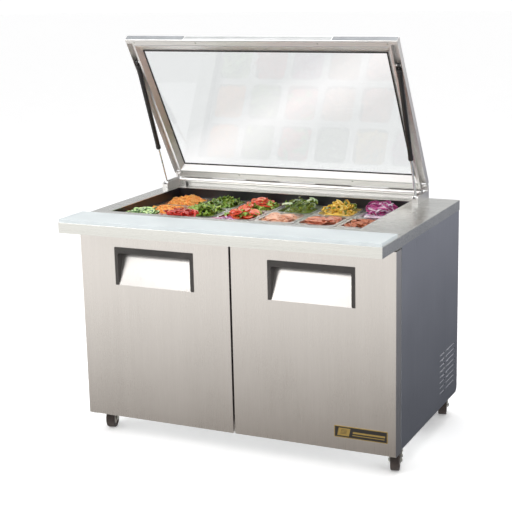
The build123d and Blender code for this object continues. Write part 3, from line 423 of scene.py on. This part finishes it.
def food_colour(name, dark, light, rough=(0.3, 0.5), wet=0.3, grain=260.0, soft=0.15):
    """Flesh of a food: shade differs from piece to piece, with fine mottling."""
    p = Paint(name, Subsurface_Weight=soft, Subsurface_Scale=0.003, Coat_Weight=wet, Coat_Roughness=0.2)
    island = p.tree.nodes.new("ShaderNodeNewGeometry").outputs["Random Per Island"]
    mottle = p.noise(grain, detail=4.0)
    broad = p.noise(45.0, detail=3.0)
    tone = p.maths("ADD", p.maths("MULTIPLY", island, 0.55), p.remap(mottle, 0.3, 0.7, 0.0, 0.25))
    tone = p.maths("ADD", tone, p.remap(broad, 0.3, 0.7, 0.0, 0.2))
    p.colour(p.ramp(tone, (0.08, dark), (0.92, light)))
    p.rough(p.remap(mottle, 0.3, 0.7, *rough))
    p.bump(mottle, 0.3, 0.0006)
    return p.mat


CARROT = food_colour("food_carrot", srgb(244, 128, 20), srgb(255, 204, 108))
LEAF = food_colour("food_leaf", srgb(54, 82, 16), srgb(132, 162, 50), grain=120.0)
FRILL = food_colour("food_frill", srgb(92, 138, 32), srgb(188, 208, 98), grain=120.0)
STALK = food_colour("food_stalk", srgb(176, 204, 140), srgb(226, 238, 206))
TOMATO = food_colour("food_tomato_skin", srgb(198, 44, 18), srgb(236, 84, 42), (0.15, 0.3), 0.6)
TOMATO_CUT = food_colour("food_tomato_cut", srgb(224, 82, 42), srgb(248, 140, 96), (0.2, 0.35), 0.6, 150.0)
GREEN_PEPPER = food_colour("food_green_pepper", srgb(58, 82, 16), srgb(142, 160, 56), (0.15, 0.3), 0.6)
CORN = food_colour("food_corn", srgb(226, 172, 34), srgb(252, 222, 108), (0.2, 0.35), 0.5)
ONION = food_colour("food_onion_skin", srgb(148, 34, 102), srgb(208, 84, 162), (0.2, 0.35), 0.5)
ONION_CUT = food_colour("food_onion_cut", srgb(214, 178, 204), srgb(246, 236, 244), (0.2, 0.35), 0.5)
HAM = food_colour("food_pale_ham", srgb(222, 156, 122), srgb(246, 202, 174), (0.3, 0.45), 0.4, 180.0)
CURED = food_colour("food_cured_meat", srgb(184, 96, 70), srgb(228, 156, 122), (0.3, 0.45), 0.4, 180.0)
BEEF = food_colour("food_roast_meat", srgb(138, 64, 34), srgb(198, 116, 76), (0.35, 0.5), 0.3, 180.0)
CUCUMBER = food_colour("food_cucumber_skin", srgb(26, 72, 24), srgb(70, 118, 48), (0.2, 0.35), 0.5)
CUCUMBER_CUT = food_colour("food_cucumber_cut", srgb(170, 202, 116), srgb(218, 236, 172), (0.2, 0.35), 0.6)
RED_PEPPER = food_colour("food_red_pepper", srgb(176, 22, 16), srgb(236, 66, 44), (0.12, 0.28), 0.7)
TAN = food_colour("food_tan_strips", srgb(170, 116, 66), srgb(220, 180, 128), (0.35, 0.5), 0.3)


class Heap:
    """Food in one pan: a bed and loose pieces lying on its uneven top."""

    def __init__(self, column, row, peak, sink=0.018):
        self.tag = "{}_{}".format(column, row)
        self.body = "pan_" + self.tag
        low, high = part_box(self.body)
        self.middle = Vector(((low.x + high.x) / 2, (low.y + high.y) / 2, high.z))
        self.peak, self.sink = peak, sink
        self.seed = column * 7.31 + row * 3.17
        self.rng = random.Random(column * 100 + row)
        self.shape = Shape()

    def height(self, x, y):
        u, v = x / PAN_HALF[0], y / PAN_HALF[1]
        dome = max(0.0, (1 - u * u) * (1 - v * v)) ** 0.45
        lump = noise.noise(Vector((u * 2.4, v * 2.4, self.seed)))
        return -self.sink + dome * (self.sink + self.peak + 0.014 * lump)

    def keep(self, x, y, z, margin=0.0):
        """Point moved inside the pan's rounded opening and below the lid."""
        hx, hy, r = PAN_HALF[0] - margin, PAN_HALF[1] - margin, PAN_CORNER
        x, y = max(-hx, min(hx, x)), max(-hy, min(hy, y))
        cx, cy = abs(x) - (hx - r), abs(y) - (hy - r)
        if cx > 0 and cy > 0 and math.hypot(cx, cy) > r:
            scale = r / math.hypot(cx, cy)
            x = math.copysign(hx - r + cx * scale, x)
            y = math.copysign(hy - r + cy * scale, y)
        taper = 1 - 0.08 * max(0.0, -z / 0.09)
        return self.middle + Vector((x * taper, y * taper, min(z, FOOD_TOP)))

    def spot(self, spread=0.94):
        x = self.rng.uniform(-spread, spread) * PAN_HALF[0]
        y = self.rng.uniform(-spread, spread) * PAN_HALF[1]
        return x, y

    def bed(self, slot, drop=0.003, steps=16):
        self.shape.slot = slot
        rings = []
        for j in range(steps + 1):
            y = (2 * j / steps - 1) * PAN_HALF[1]
            xs = [(2 * i / steps - 1) * PAN_HALF[0] for i in range(steps + 1)]
            upper = [self.keep(x, y, self.height(x, y) - drop, 0.0006) for x in xs]
            lower = [self.keep(x, y, -0.06, 0.0006) for x in reversed(xs)]
            rings.append(upper + lower)
        self.shape.skin(rings)

    def shreds(self, count, length, radius, slots=(0,), rise=0.004):
        """Thin bent pieces thrown on the heap."""
        for _ in range(count):
            self.shape.slot = self.rng.choice(slots)
            x, y = self.spot()
            turn = self.rng.uniform(0, math.tau)
            bend = self.rng.uniform(-2.2, 2.2)
            reach = length * self.rng.uniform(0.6, 1.2)
            lift = self.rng.uniform(0, rise)
            tip = self.rng.uniform(-0.4, 0.7) * rise
            points = []
            for k in range(5):
                t = k / 4 - 0.5
                heading = turn + bend * t
                px = x + reach * t * math.cos(heading)
                py = y + reach * t * math.sin(heading)
                points.append(self.keep(px, py, self.height(px, py) + lift + tip * t * 2, radius + 0.0006))
            self.flat_tube(points, radius * self.rng.uniform(0.8, 1.3), radius * self.rng.uniform(0.5, 0.9))

    def flat_tube(self, points, wide, thick):
        rings = []
        for k, point in enumerate(points):
            ahead = points[min(k + 1, len(points) - 1)] - points[max(k - 1, 0)]
            if ahead.length < 1e-5:
                return
            across = ahead.normalized().cross(Vector((0, 0, 1)))
            if across.length < 1e-3:
                return
            across.normalize()
            over = across.cross(ahead.normalized())
            rings.append([point + wide * across, point + thick * over,
                          point - wide * across, point - thick * over])
        self.shape.skin(rings)

    def leaves(self, count, size, slots=(0,), ruffle=0.004, rise=0.008, thick=0.0006, narrow=0.6):
        """Crinkled sheets with a wavy rim."""
        for _ in range(count):
            self.shape.slot = self.rng.choice(slots)
            x, y = self.spot(0.8)
            turn = self.rng.uniform(0, math.tau)
            long_half = size * self.rng.uniform(0.7, 1.15) / 2
            tilt = self.rng.uniform(-0.5, 0.5)
            phase = self.rng.uniform(0, 9)
            lift = self.rng.uniform(0.001, rise)
            rings = []
            for j in range(9):
                t = j / 4 - 1
                edge = 1 + 0.12 * math.sin(5 * t + phase)
                half = long_half * narrow * max(0.12, math.cos(t * 1.35)) * edge
                upper, lower = [], []
                for i in range(7):
                    w = i / 3 - 1
                    lx, ly = t * long_half, w * half
                    px = x + lx * math.cos(turn) - ly * math.sin(turn)
                    py = y + lx * math.sin(turn) + ly * math.cos(turn)
                    wave = ruffle * (abs(w) ** 2) * math.sin(9 * t + 2.3 * w + phase)
                    wave += 0.5 * ruffle * math.sin(4 * t - phase) + tilt * ly
                    z = max(self.height(px, py) * 0.5 + self.height(x, y) * 0.5 + lift + wave,
                            self.height(px, py) - 0.004)
                    point = self.keep(px, py, z, 0.001)
                    upper.append(point)
                    lower.append(point - Vector((0, 0, thick)))
                rings.append(upper + lower[::-1])
            self.shape.skin(rings)

    def discs(self, count, radius, thick, skin_slot, cut_slot, lean=0.5, rise=0.006):
        """Round slices, each leaning its own way."""
        for _ in range(count):
            x, y = self.spot(0.62)
            r = radius * self.rng.uniform(0.85, 1.08)
            t = thick * self.rng.uniform(0.8, 1.2)
            turn = Matrix.Rotation(self.rng.uniform(0, math.tau), 3, "Z")
            tip = Matrix.Rotation(self.rng.uniform(0.15, lean), 3, "X")
            z = self.height(x, y) + self.rng.uniform(0.2, 1.0) * rise
            skin = [(r - 0.0014, 0.0004), (r, 0.0009), (r, t - 0.0009), (r - 0.0014, t - 0.0004)]
            cut = [(0.0005, 0), (r * 0.55, 0.0002), (r - 0.0012, 0.0), (r - 0.0012, t),
                   (r * 0.75, t - 0.0002), (r * 0.5, t - 0.0007), (r * 0.2, t), (0.0005, t)]
            for slot, profile in ((skin_slot, skin), (cut_slot, cut)):
                self.shape.slot = slot
                rings = []
                for radius_k, h in profile:
                    ring = []
                    for a in (math.tau * j / 22 for j in range(22)):
                        local = turn @ (tip @ Vector((radius_k * math.cos(a), radius_k * math.sin(a), h)))
                        ring.append(self.keep(x + local.x, y + local.y, z + local.z, 0.001))
                    rings.append(ring)
                self.shape.skin(rings)

    def hoops(self, count, radius, wide, thick, slots, arc=math.tau, lean=0.7, rise=0.008):
        """Rings, or bowed strips when the arc is less than a full turn."""
        for _ in range(count):
            self.shape.slot = self.rng.choice(slots)
            x, y = self.spot(0.66)
            r = radius * self.rng.uniform(0.45, 1.1)
            squeeze = self.rng.uniform(0.65, 1.0)
            turn = Matrix.Rotation(self.rng.uniform(0, math.tau), 3, "Z")
            tip = Matrix.Rotation(self.rng.uniform(-lean, lean), 3, "X")
            z = self.height(x, y) + self.rng.uniform(0.1, 1.0) * rise
            steps = 18 if arc >= math.tau else 9
            span = min(arc, math.tau) * (1 if arc >= math.tau else self.rng.uniform(0.6, 1.1))
            rings = []
            for j in range(steps if arc >= math.tau else steps + 1):
                a = span * j / steps
                out = Vector((math.cos(a), squeeze * math.sin(a), 0))
                ring = []
                for du, dn in ((0, 0), (thick, 0), (thick, wide), (0, wide)):
                    local = turn @ (tip @ (out * (r + du) + Vector((0, 0, dn))))
                    ring.append(self.keep(x + local.x, y + local.y, z + local.z - wide / 2, 0.001))
                rings.append(ring)
            self.shape.skin(rings, loop=arc >= math.tau)

    def folds(self, count, size, slots=(0,), swing=0.006, thick=0.0014, rise=0.008):
        """Thin slices laid down in soft folds."""
        for _ in range(count):
            self.shape.slot = self.rng.choice(slots)
            x, y = self.spot(0.66)
            turn = self.rng.uniform(0, math.tau)
            half = size * self.rng.uniform(0.7, 1.1) / 2
            waves = self.rng.uniform(1.2, 2.4)
            phase = self.rng.uniform(0, 6)
            lift = self.rng.uniform(0.002, rise)
            rings = []
            for j in range(15):
                t = j / 7 - 1
                upper, lower = [], []
                for i in range(5):
                    w = i / 2 - 1
                    lx = t * half * 0.75 + 0.006 * math.sin(waves * math.pi * t * 2 + phase)
                    ly = w * half * (0.75 + 0.12 * math.sin(3 * t + phase))
                    px = x + lx * math.cos(turn) - ly * math.sin(turn)
                    py = y + lx * math.sin(turn) + ly * math.cos(turn)
                    wave = swing * math.sin(waves * math.pi * t + phase + 0.5 * w)
                    z = 0.4 * self.height(px, py) + 0.6 * self.height(x, y) + lift + wave
                    point = self.keep(px, py, max(z, self.height(px, py) - 0.003), 0.001)
                    upper.append(point)
                    lower.append(point - Vector((0, 0, thick)))
                rings.append(upper + lower[::-1])
            self.shape.skin(rings)

    def done(self, name, *materials):
        self.shape.finish("food_{}_{}".format(name, self.tag), materials, self.body, sharp=50)


def fill_pans():
    for column, row, peak in ((1, 3, 0.010), (1, 2, 0.003)):
        heap = Heap(column, row, peak)
        heap.bed(0)
        heap.shreds(520, 0.036, 0.0019, rise=0.008)
        heap.done("shredded_carrot", CARROT)
    for column, row, count, size, peak in ((2, 3, 34, 0.05, 0.010), (2, 2, 46, 0.06, 0.014)):
        heap = Heap(column, row, peak)
        heap.bed(0, 0.006)
        heap.leaves(count, size, (0, 0, 1), 0.006, 0.014)
        heap.shreds(14, 0.03, 0.0018, (2,), rise=0.012)
        heap.done("leaves", LEAF, FRILL, STALK)
    for column, row, frills in ((3, 3, 20), (3, 2, 8)):
        heap = Heap(column, row, 0.003)
        heap.bed(1, 0.006)
        heap.leaves(frills, 0.06, (2,), 0.007, 0.01)
        heap.discs(22, 0.024, 0.005, 0, 1, 0.6, 0.010)
        heap.leaves(frills // 2, 0.045, (2,), 0.007, 0.014)
        heap.done("sliced_tomato", TOMATO, TOMATO_CUT, FRILL)
    heap = Heap(4, 3, 0.014)
    heap.bed(0, 0.006)
    heap.hoops(95, 0.03, 0.006, 0.003, (0, 0, 0, 1), math.radians(110), 1.1, 0.016)
    heap.done("green_pepper", GREEN_PEPPER, STALK)
    heap = Heap(5, 3, 0.012)
    heap.bed(0, 0.006)
    heap.hoops(90, 0.022, 0.007, 0.004, (0, 0, 0, 0, 1), math.radians(80), 1.1, 0.015)
    heap.done("yellow_pepper", CORN, GREEN_PEPPER)
    heap = Heap(6, 3, 0.018)
    heap.bed(1, 0.006)
    heap.hoops(70, 0.026, 0.005, 0.0016, (0, 0, 0, 1), math.tau, 0.9, 0.016)
    heap.done("onion_rings", ONION, ONION_CUT)
    for column, material, name in ((4, HAM, "pale_ham"), (5, CURED, "cured_meat"), (6, BEEF, "roast_meat")):
        heap = Heap(column, 2, -0.004, 0.016)
        heap.bed(0, 0.005)
        heap.folds(26, 0.062, (0,), 0.006, 0.0014, 0.009)
        heap.done(name, material)
    heap = Heap(1, 1, 0.008)
    heap.bed(1, 0.006)
    heap.discs(34, 0.023, 0.0045, 0, 1, 0.9, 0.018)
    heap.done("sliced_cucumber", CUCUMBER, CUCUMBER_CUT)
    heap = Heap(2, 1, 0.020)
    heap.bed(0, 0.006)
    heap.hoops(110, 0.032, 0.006, 0.003, (0,), math.radians(120), 1.2, 0.02)
    heap.done("red_pepper", RED_PEPPER)
    heap = Heap(3, 1, 0.012)
    heap.bed(0, 0.004)
    heap.shreds(430, 0.04, 0.0017, (0, 0, 1), rise=0.009)
    heap.done("shredded_onion", ONION, ONION_CUT)
    heap = Heap(4, 1, -0.006, 0.018)
    heap.bed(0, 0.004)
    heap.shreds(260, 0.042, 0.0026, (0, 0, 0, 1), rise=0.009)
    heap.done("tan_strips", TAN, BEEF)
    for column, material in ((5, BEEF), (6, BEEF)):
        heap = Heap(column, 1, -0.006, 0.018)
        heap.bed(0, 0.005)
        heap.folds(28, 0.055, (0, 0, 0, 1), 0.006, 0.0014, 0.009)
        heap.done("roast_meat", material, CURED)


# ---- small parts --------------------------------------------------------------------------------
LID_DOWN = LID_PLACE.to_3x3() @ Vector((0, 0, -1))
STRUT_IN = 0.014
STRUT_HEAD = at(0, 0.551213, 1.373861)
STRUT_FOOT = at(0, 0.748, TOP + 0.024)
GRIP_LEFT, GRIP_RIGHT = -0.345, 0.245
GRIP_GAP = 0.004
SCREW_FROM_END = 0.037
PANEL_SCREW_EDGE = 0.016
LOUVRE_TOP, LOUVRE_PITCH, LOUVRE_ROWS = 0.548, 0.0212, 8
WHEEL_RADIUS, CASTOR_TRAIL, HUB_SEAT = 0.0375, 0.026, 0.0118


def lid_details():
    """Front rail's end caps and grip strip, and the screws and ribs under the rails."""
    for name, x0, x1 in (("left", LID_LEFT + 0.0008, GRIP_LEFT - GRIP_GAP),
                         ("right", GRIP_RIGHT + GRIP_GAP, LID_RIGHT - 0.0008)):
        cap = Shape()
        cap.block((x0, x1), (-LID_LENGTH - 0.0009, -LID_LENGTH + 0.001), (0.0012, 0.0246), LID_PLACE)
        cap.finish("lid_rail_cap_" + name, [RAIL_END], "lid", bevel=0.0005)
    grip = Shape()
    for n0, n1, proud in ((0.003, 0.0125, 0.0012), (0.0132, 0.0145, 0.0007), (0.0152, 0.0240, 0.0012)):
        grip.block((GRIP_LEFT, GRIP_RIGHT), (-LID_LENGTH - proud, -LID_LENGTH + 0.001), (n0, n1), LID_PLACE)
    grip.finish("lid_rail_grip", [GRIP], "lid", bevel=0.0004)
    screws = Shape()
    for x in (LID_LEFT + SCREW_FROM_END, LID_LEFT + 0.30, LID_RIGHT - 0.30, LID_RIGHT - SCREW_FROM_END):
        for u in (0.012, 0.659):
            screw(screws, lid_at(x, u, 0), LID_DOWN, 0.003, 0.0012)
    screws.finish("lid_rail_screws", [ZINC], "lid")
    ribs = Shape()
    for u0, u1 in ((0.6462, 0.6478), (0.6676, 0.6688), (0.0166, 0.0180)):
        ribs.block((LID_LEFT + 0.031, LID_RIGHT - 0.031), (-u1, -u0), (-0.0005, 0.0008), LID_PLACE)
    ribs.finish("lid_rail_ribs", [RAIL_END], "lid", bevel=0.0002)


def strut_details():
    """Two collars round each cylinder and a cap on the stud at its foot."""
    along = (STRUT_FOOT - STRUT_HEAD).normalized()
    for name, x, inward in (("left", LID_LEFT + STRUT_IN, 1), ("right", LID_RIGHT - STRUT_IN, -1)):
        collar = Shape()
        shift = Vector((x, 0, 0))
        for start, end, radius in ((0.019, 0.032, 0.0099), (0.366, 0.3812, 0.0098)):
            place = facing(STRUT_HEAD + shift + along * start, along)
            length = end - start
            collar.lathe([(radius - 0.0008, 0), (radius, 0.0012), (radius, length - 0.0012),
                          (radius - 0.0008, length)], place, 24)
        collar.finish("strut_collars_" + name, [STRUT], "strut_cylinder_" + name)
        cap = Shape()
        place = facing(STRUT_FOOT + shift + Vector((inward * 0.0046, 0, 0)), (inward, 0, 0))
        cap.lathe([(0.0052, 0), (0.0052, 0.0008), (0.0040, 0.0018), (0.0012, 0.0023)], place, 20)
        cap.finish("strut_foot_cap_" + name, [ZINC], "strut_rod_" + name)


def hinge_details():
    """Screws in the flanges at the ends of the rear cover."""
    screws = Shape()
    for x in (LID_LEFT + SCREW_FROM_END, LID_RIGHT - SCREW_FROM_END):
        for z in (0.007, 0.0165):
            screw(screws, at(x, 0.839, TOP + z), (0, -1, 0), 0.0028, 0.0012)
    screws.finish("rear_cover_screws", [ZINC], "cabinet")


def panel_details():
    """Screws round the rear panel and slanted blades behind the louvres of the right panel."""
    low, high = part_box("rear_panel")
    screws = Shape()
    for k in range(7):
        x = low.x + PANEL_SCREW_EDGE + (high.x - low.x - 2 * PANEL_SCREW_EDGE) * k / 6
        for z in (low.z + PANEL_SCREW_EDGE, high.z - PANEL_SCREW_EDGE):
            screw(screws, Vector((x, high.y, z)), (0, 1, 0), 0.0035, 0.0012)
    for z in (low.z + 0.2, low.z + 0.38, low.z + 0.55):
        for x in (low.x + PANEL_SCREW_EDGE, high.x - PANEL_SCREW_EDGE):
            screw(screws, Vector((x, high.y, z)), (0, 1, 0), 0.0035, 0.0012)
    screws.finish("rear_panel_screws", [ZINC], "cabinet")
    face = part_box("right_side_panel")[1].x
    blades = Shape()
    for row in range(LOUVRE_ROWS):
        z = TOP - LOUVRE_TOP - row * LOUVRE_PITCH
        for y0, y1 in ((0.635, 0.701), (0.713, 0.829)):
            a, b = FRONT + y0, FRONT + y1
            outline = [(face - 0.0016, z - 0.0062), (face - 0.0024, z - 0.0068), (face - 0.0074, z + 0.0042),
                       (face - 0.0066, z + 0.0048)]
            blades.skin([[Vector((px, y, pz)) for px, pz in outline] for y in (a, b)])
    blades.finish("louvre_blades", [STEEL_SIDE_PAINTED_SHADE], "cabinet")


def castor_details():
    """Hub disc on both faces of each wheel."""
    for name, (x, from_front, turn) in CASTORS.items():
        place = Matrix.Translation(at(x, from_front, 0)) @ Matrix.Rotation(math.radians(turn), 4, "Z")
        hub = Shape()
        for side in (-1, 1):
            spot = place @ Vector((side * HUB_SEAT, -CASTOR_TRAIL, WHEEL_RADIUS))
            across = place.to_3x3() @ Vector((side, 0, 0))
            hub.lathe([(0.0252, 0.0), (0.0252, 0.0012), (0.021, 0.0026), (0.0135, 0.0030), (0.0115, 0.0040),
                       (0.0078, 0.0042), (0.0064, 0.0042), (0.0064, 0.0)], facing(spot, across), 28)
        hub.finish("wheel_hubs_" + name, [NYLON], "wheel_" + name)


def evaporator_details():
    """Wire guard in front of the evaporator's fan."""
    low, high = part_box("evaporator_fan")
    body_low, body_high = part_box("evaporator")
    middle = (low + high) / 2
    side = -1 if abs(low.x - body_low.x) < abs(high.x - body_high.x) else 1
    x = (body_low.x if side < 0 else body_high.x) + side * 0.004
    guard = Shape()
    for radius in (0.018, 0.032, 0.046, 0.060):
        rings = []
        for k in range(36):
            a = math.tau * k / 36
            out = Vector((0, math.cos(a), math.sin(a)))
            spot = Vector((x, middle.y, middle.z)) + out * radius
            rings.append([spot + 0.001 * (math.cos(b) * out + math.sin(b) * Vector((1, 0, 0)))
                          for b in (math.tau * j / 6 for j in range(6))])
        guard.skin(rings, loop=True)
    for k in range(6):
        a = math.tau * k / 6 + 0.3
        out = Vector((0, math.cos(a), math.sin(a)))
        spot = Vector((x - side * 0.0015, middle.y, middle.z))
        guard.tube([spot + out * 0.012, spot + out * 0.062], 0.0012, 8)
        guard.tube([spot + out * 0.062, spot + out * 0.0625 - Vector((side * 0.003, 0, 0))], 0.0014, 8)
    guard.finish("evaporator_guard", [CHROME], "cabinet")


fill_pans()
lid_details()
strut_details()
hinge_details()
panel_details()
castor_details()
evaporator_details()


# ---- camera -------------------------------------------------------------------------------------
YAW, PITCH, ROLL = 0.445559, -0.227484, -0.0235353
forward = Vector((-math.sin(YAW) * math.cos(PITCH), math.cos(YAW) * math.cos(PITCH), math.sin(PITCH)))
level_right = forward.cross(Vector((0, 0, 1))).normalized()
level_up = level_right.cross(forward)
right = math.cos(ROLL) * level_right + math.sin(ROLL) * level_up
up = -math.sin(ROLL) * level_right + math.cos(ROLL) * level_up
camera_data = bpy.data.cameras.new("view")
camera_data.sensor_width = 36.0
camera_data.lens = 88.196
camera_data.clip_end = 200.0
camera = bpy.data.objects.new("view", camera_data)
camera.matrix_world = Matrix((
    (right.x, up.x, -forward.x, 1.92444), (right.y, up.y, -forward.y, -4.10862),
    (right.z, up.z, -forward.z, 1.72634), (0, 0, 0, 1)))
bpy.context.scene.collection.objects.link(camera)
bpy.context.scene.camera = camera
bpy.context.scene.view_settings.view_transform = "Standard"


# ---- studio -------------------------------------------------------------------------------------
def make_world():
    world = bpy.data.worlds.new("studio")
    bpy.context.scene.world = world
    world.use_nodes = True
    tree = world.node_tree
    tree.nodes.clear()
    seen = tree.nodes.new("ShaderNodeBackground")
    seen.inputs["Color"].default_value = (1, 1, 1, 1)
    seen.inputs["Strength"].default_value = 1.05
    sky = tree.nodes.new("ShaderNodeBackground")
    coords = tree.nodes.new("ShaderNodeTexCoord")
    axes = tree.nodes.new("ShaderNodeSeparateXYZ")
    ramp = tree.nodes.new("ShaderNodeValToRGB")
    stops = ramp.color_ramp.elements
    stops[0].position, stops[0].color = 0.0, srgb(214, 214, 216)
    stops[1].position, stops[1].color = 0.55, srgb(250, 250, 250)
    tree.links.new(coords.outputs["Generated"], axes.inputs[0])
    tree.links.new(axes.outputs["Z"], ramp.inputs["Fac"])
    tree.links.new(ramp.outputs["Color"], sky.inputs["Color"])
    sky.inputs["Strength"].default_value = 0.85
    path = tree.nodes.new("ShaderNodeLightPath")
    mix = tree.nodes.new("ShaderNodeMixShader")
    out = tree.nodes.new("ShaderNodeOutputWorld")
    tree.links.new(path.outputs["Is Camera Ray"], mix.inputs[0])
    tree.links.new(sky.outputs[0], mix.inputs[1])
    tree.links.new(seen.outputs[0], mix.inputs[2])
    tree.links.new(mix.outputs[0], out.inputs["Surface"])


def soft_light(name, place, target, size, watts, colour=(1, 1, 1)):
    data = bpy.data.lights.new(name, "AREA")
    data.shape = "RECTANGLE"
    data.size, data.size_y = size
    data.energy = watts
    data.color = colour
    lamp = bpy.data.objects.new(name, data)
    lamp.location = place
    lamp.rotation_euler = (Vector(target) - Vector(place)).to_track_quat("-Z", "Y").to_euler()
    bpy.context.scene.collection.objects.link(lamp)
    return lamp


def plane(name, x0, x1, y0, y1, z):
    mesh = bpy.data.meshes.new(name)
    mesh.from_pydata([(x0, y0, z), (x1, y0, z), (x1, y1, z), (x0, y1, z)], [], [(0, 1, 2, 3)])
    made = bpy.data.objects.new(name, mesh)
    bpy.context.scene.collection.objects.link(made)
    return made


def make_floor():
    floor = plane("floor", -30, 30, -30, 40, -0.0005)
    p = Paint("floor_paint", Specular_IOR_Level=0.2)
    p.colour(p.ramp(p.noise(3.0, detail=4.0), (0.3, srgb(248, 248, 248)), (0.7, srgb(252, 252, 252))))
    p.rough(p.remap(p.noise(40.0), 0.3, 0.7, 0.55, 0.7))
    p.shader.inputs["Emission Color"].default_value = (1, 1, 1, 1)
    p.shader.inputs["Emission Strength"].default_value = 0.24
    floor.data.materials.append(p.mat)


def reflector(name, box, height, near, far, axis, start, end, strength, skew=0.0):
    """Glowing card near the floor that only glossy reflections see."""
    card = plane(name, *box, height)
    p = Paint(name + "_glow")
    p.tree.nodes.remove(p.shader)
    glow = p.tree.nodes.new("ShaderNodeEmission")
    outs = p.split()
    shifted = p.maths("ADD", outs[axis], p.maths("MULTIPLY", outs[1 - axis], skew))
    place = p.remap(shifted, start, end)
    p.set(glow.inputs["Color"], p.ramp(place, (0.0, near), (1.0, far)))
    glow.inputs["Strength"].default_value = strength
    out = [n for n in p.tree.nodes if n.type == "OUTPUT_MATERIAL"][0]
    p.tree.links.new(glow.outputs[0], out.inputs["Surface"])
    card.data.materials.append(p.mat)
    card.visible_camera = False
    card.visible_diffuse = False
    card.visible_shadow = False
    card.visible_transmission = False
    card.visible_volume_scatter = False


make_world()
make_floor()
soft_light("key", (-2.2, -3.2, 3.4), (0, 0, 0.5), (3.0, 2.4), 95)
soft_light("top", (0.2, 0.4, 4.0), (0, 0, 0.6), (3.4, 3.0), 70)
soft_light("side", (4.5, 0.5, 1.8), (0, 0, 0.6), (2.4, 2.4), 22)
reflector("front_card", (-8, 4, -9, FRONT + 0.13), 0.001, srgb(132, 126, 120), srgb(255, 253, 250),
          1, FRONT + 0.25, -3.4, 1.3, 0.5)
reflector("right_card", (0.62, 9, -1.2, 12), 0.0015, srgb(96, 98, 104), srgb(186, 188, 198),
          0, 0.62, 3.2, 0.9)
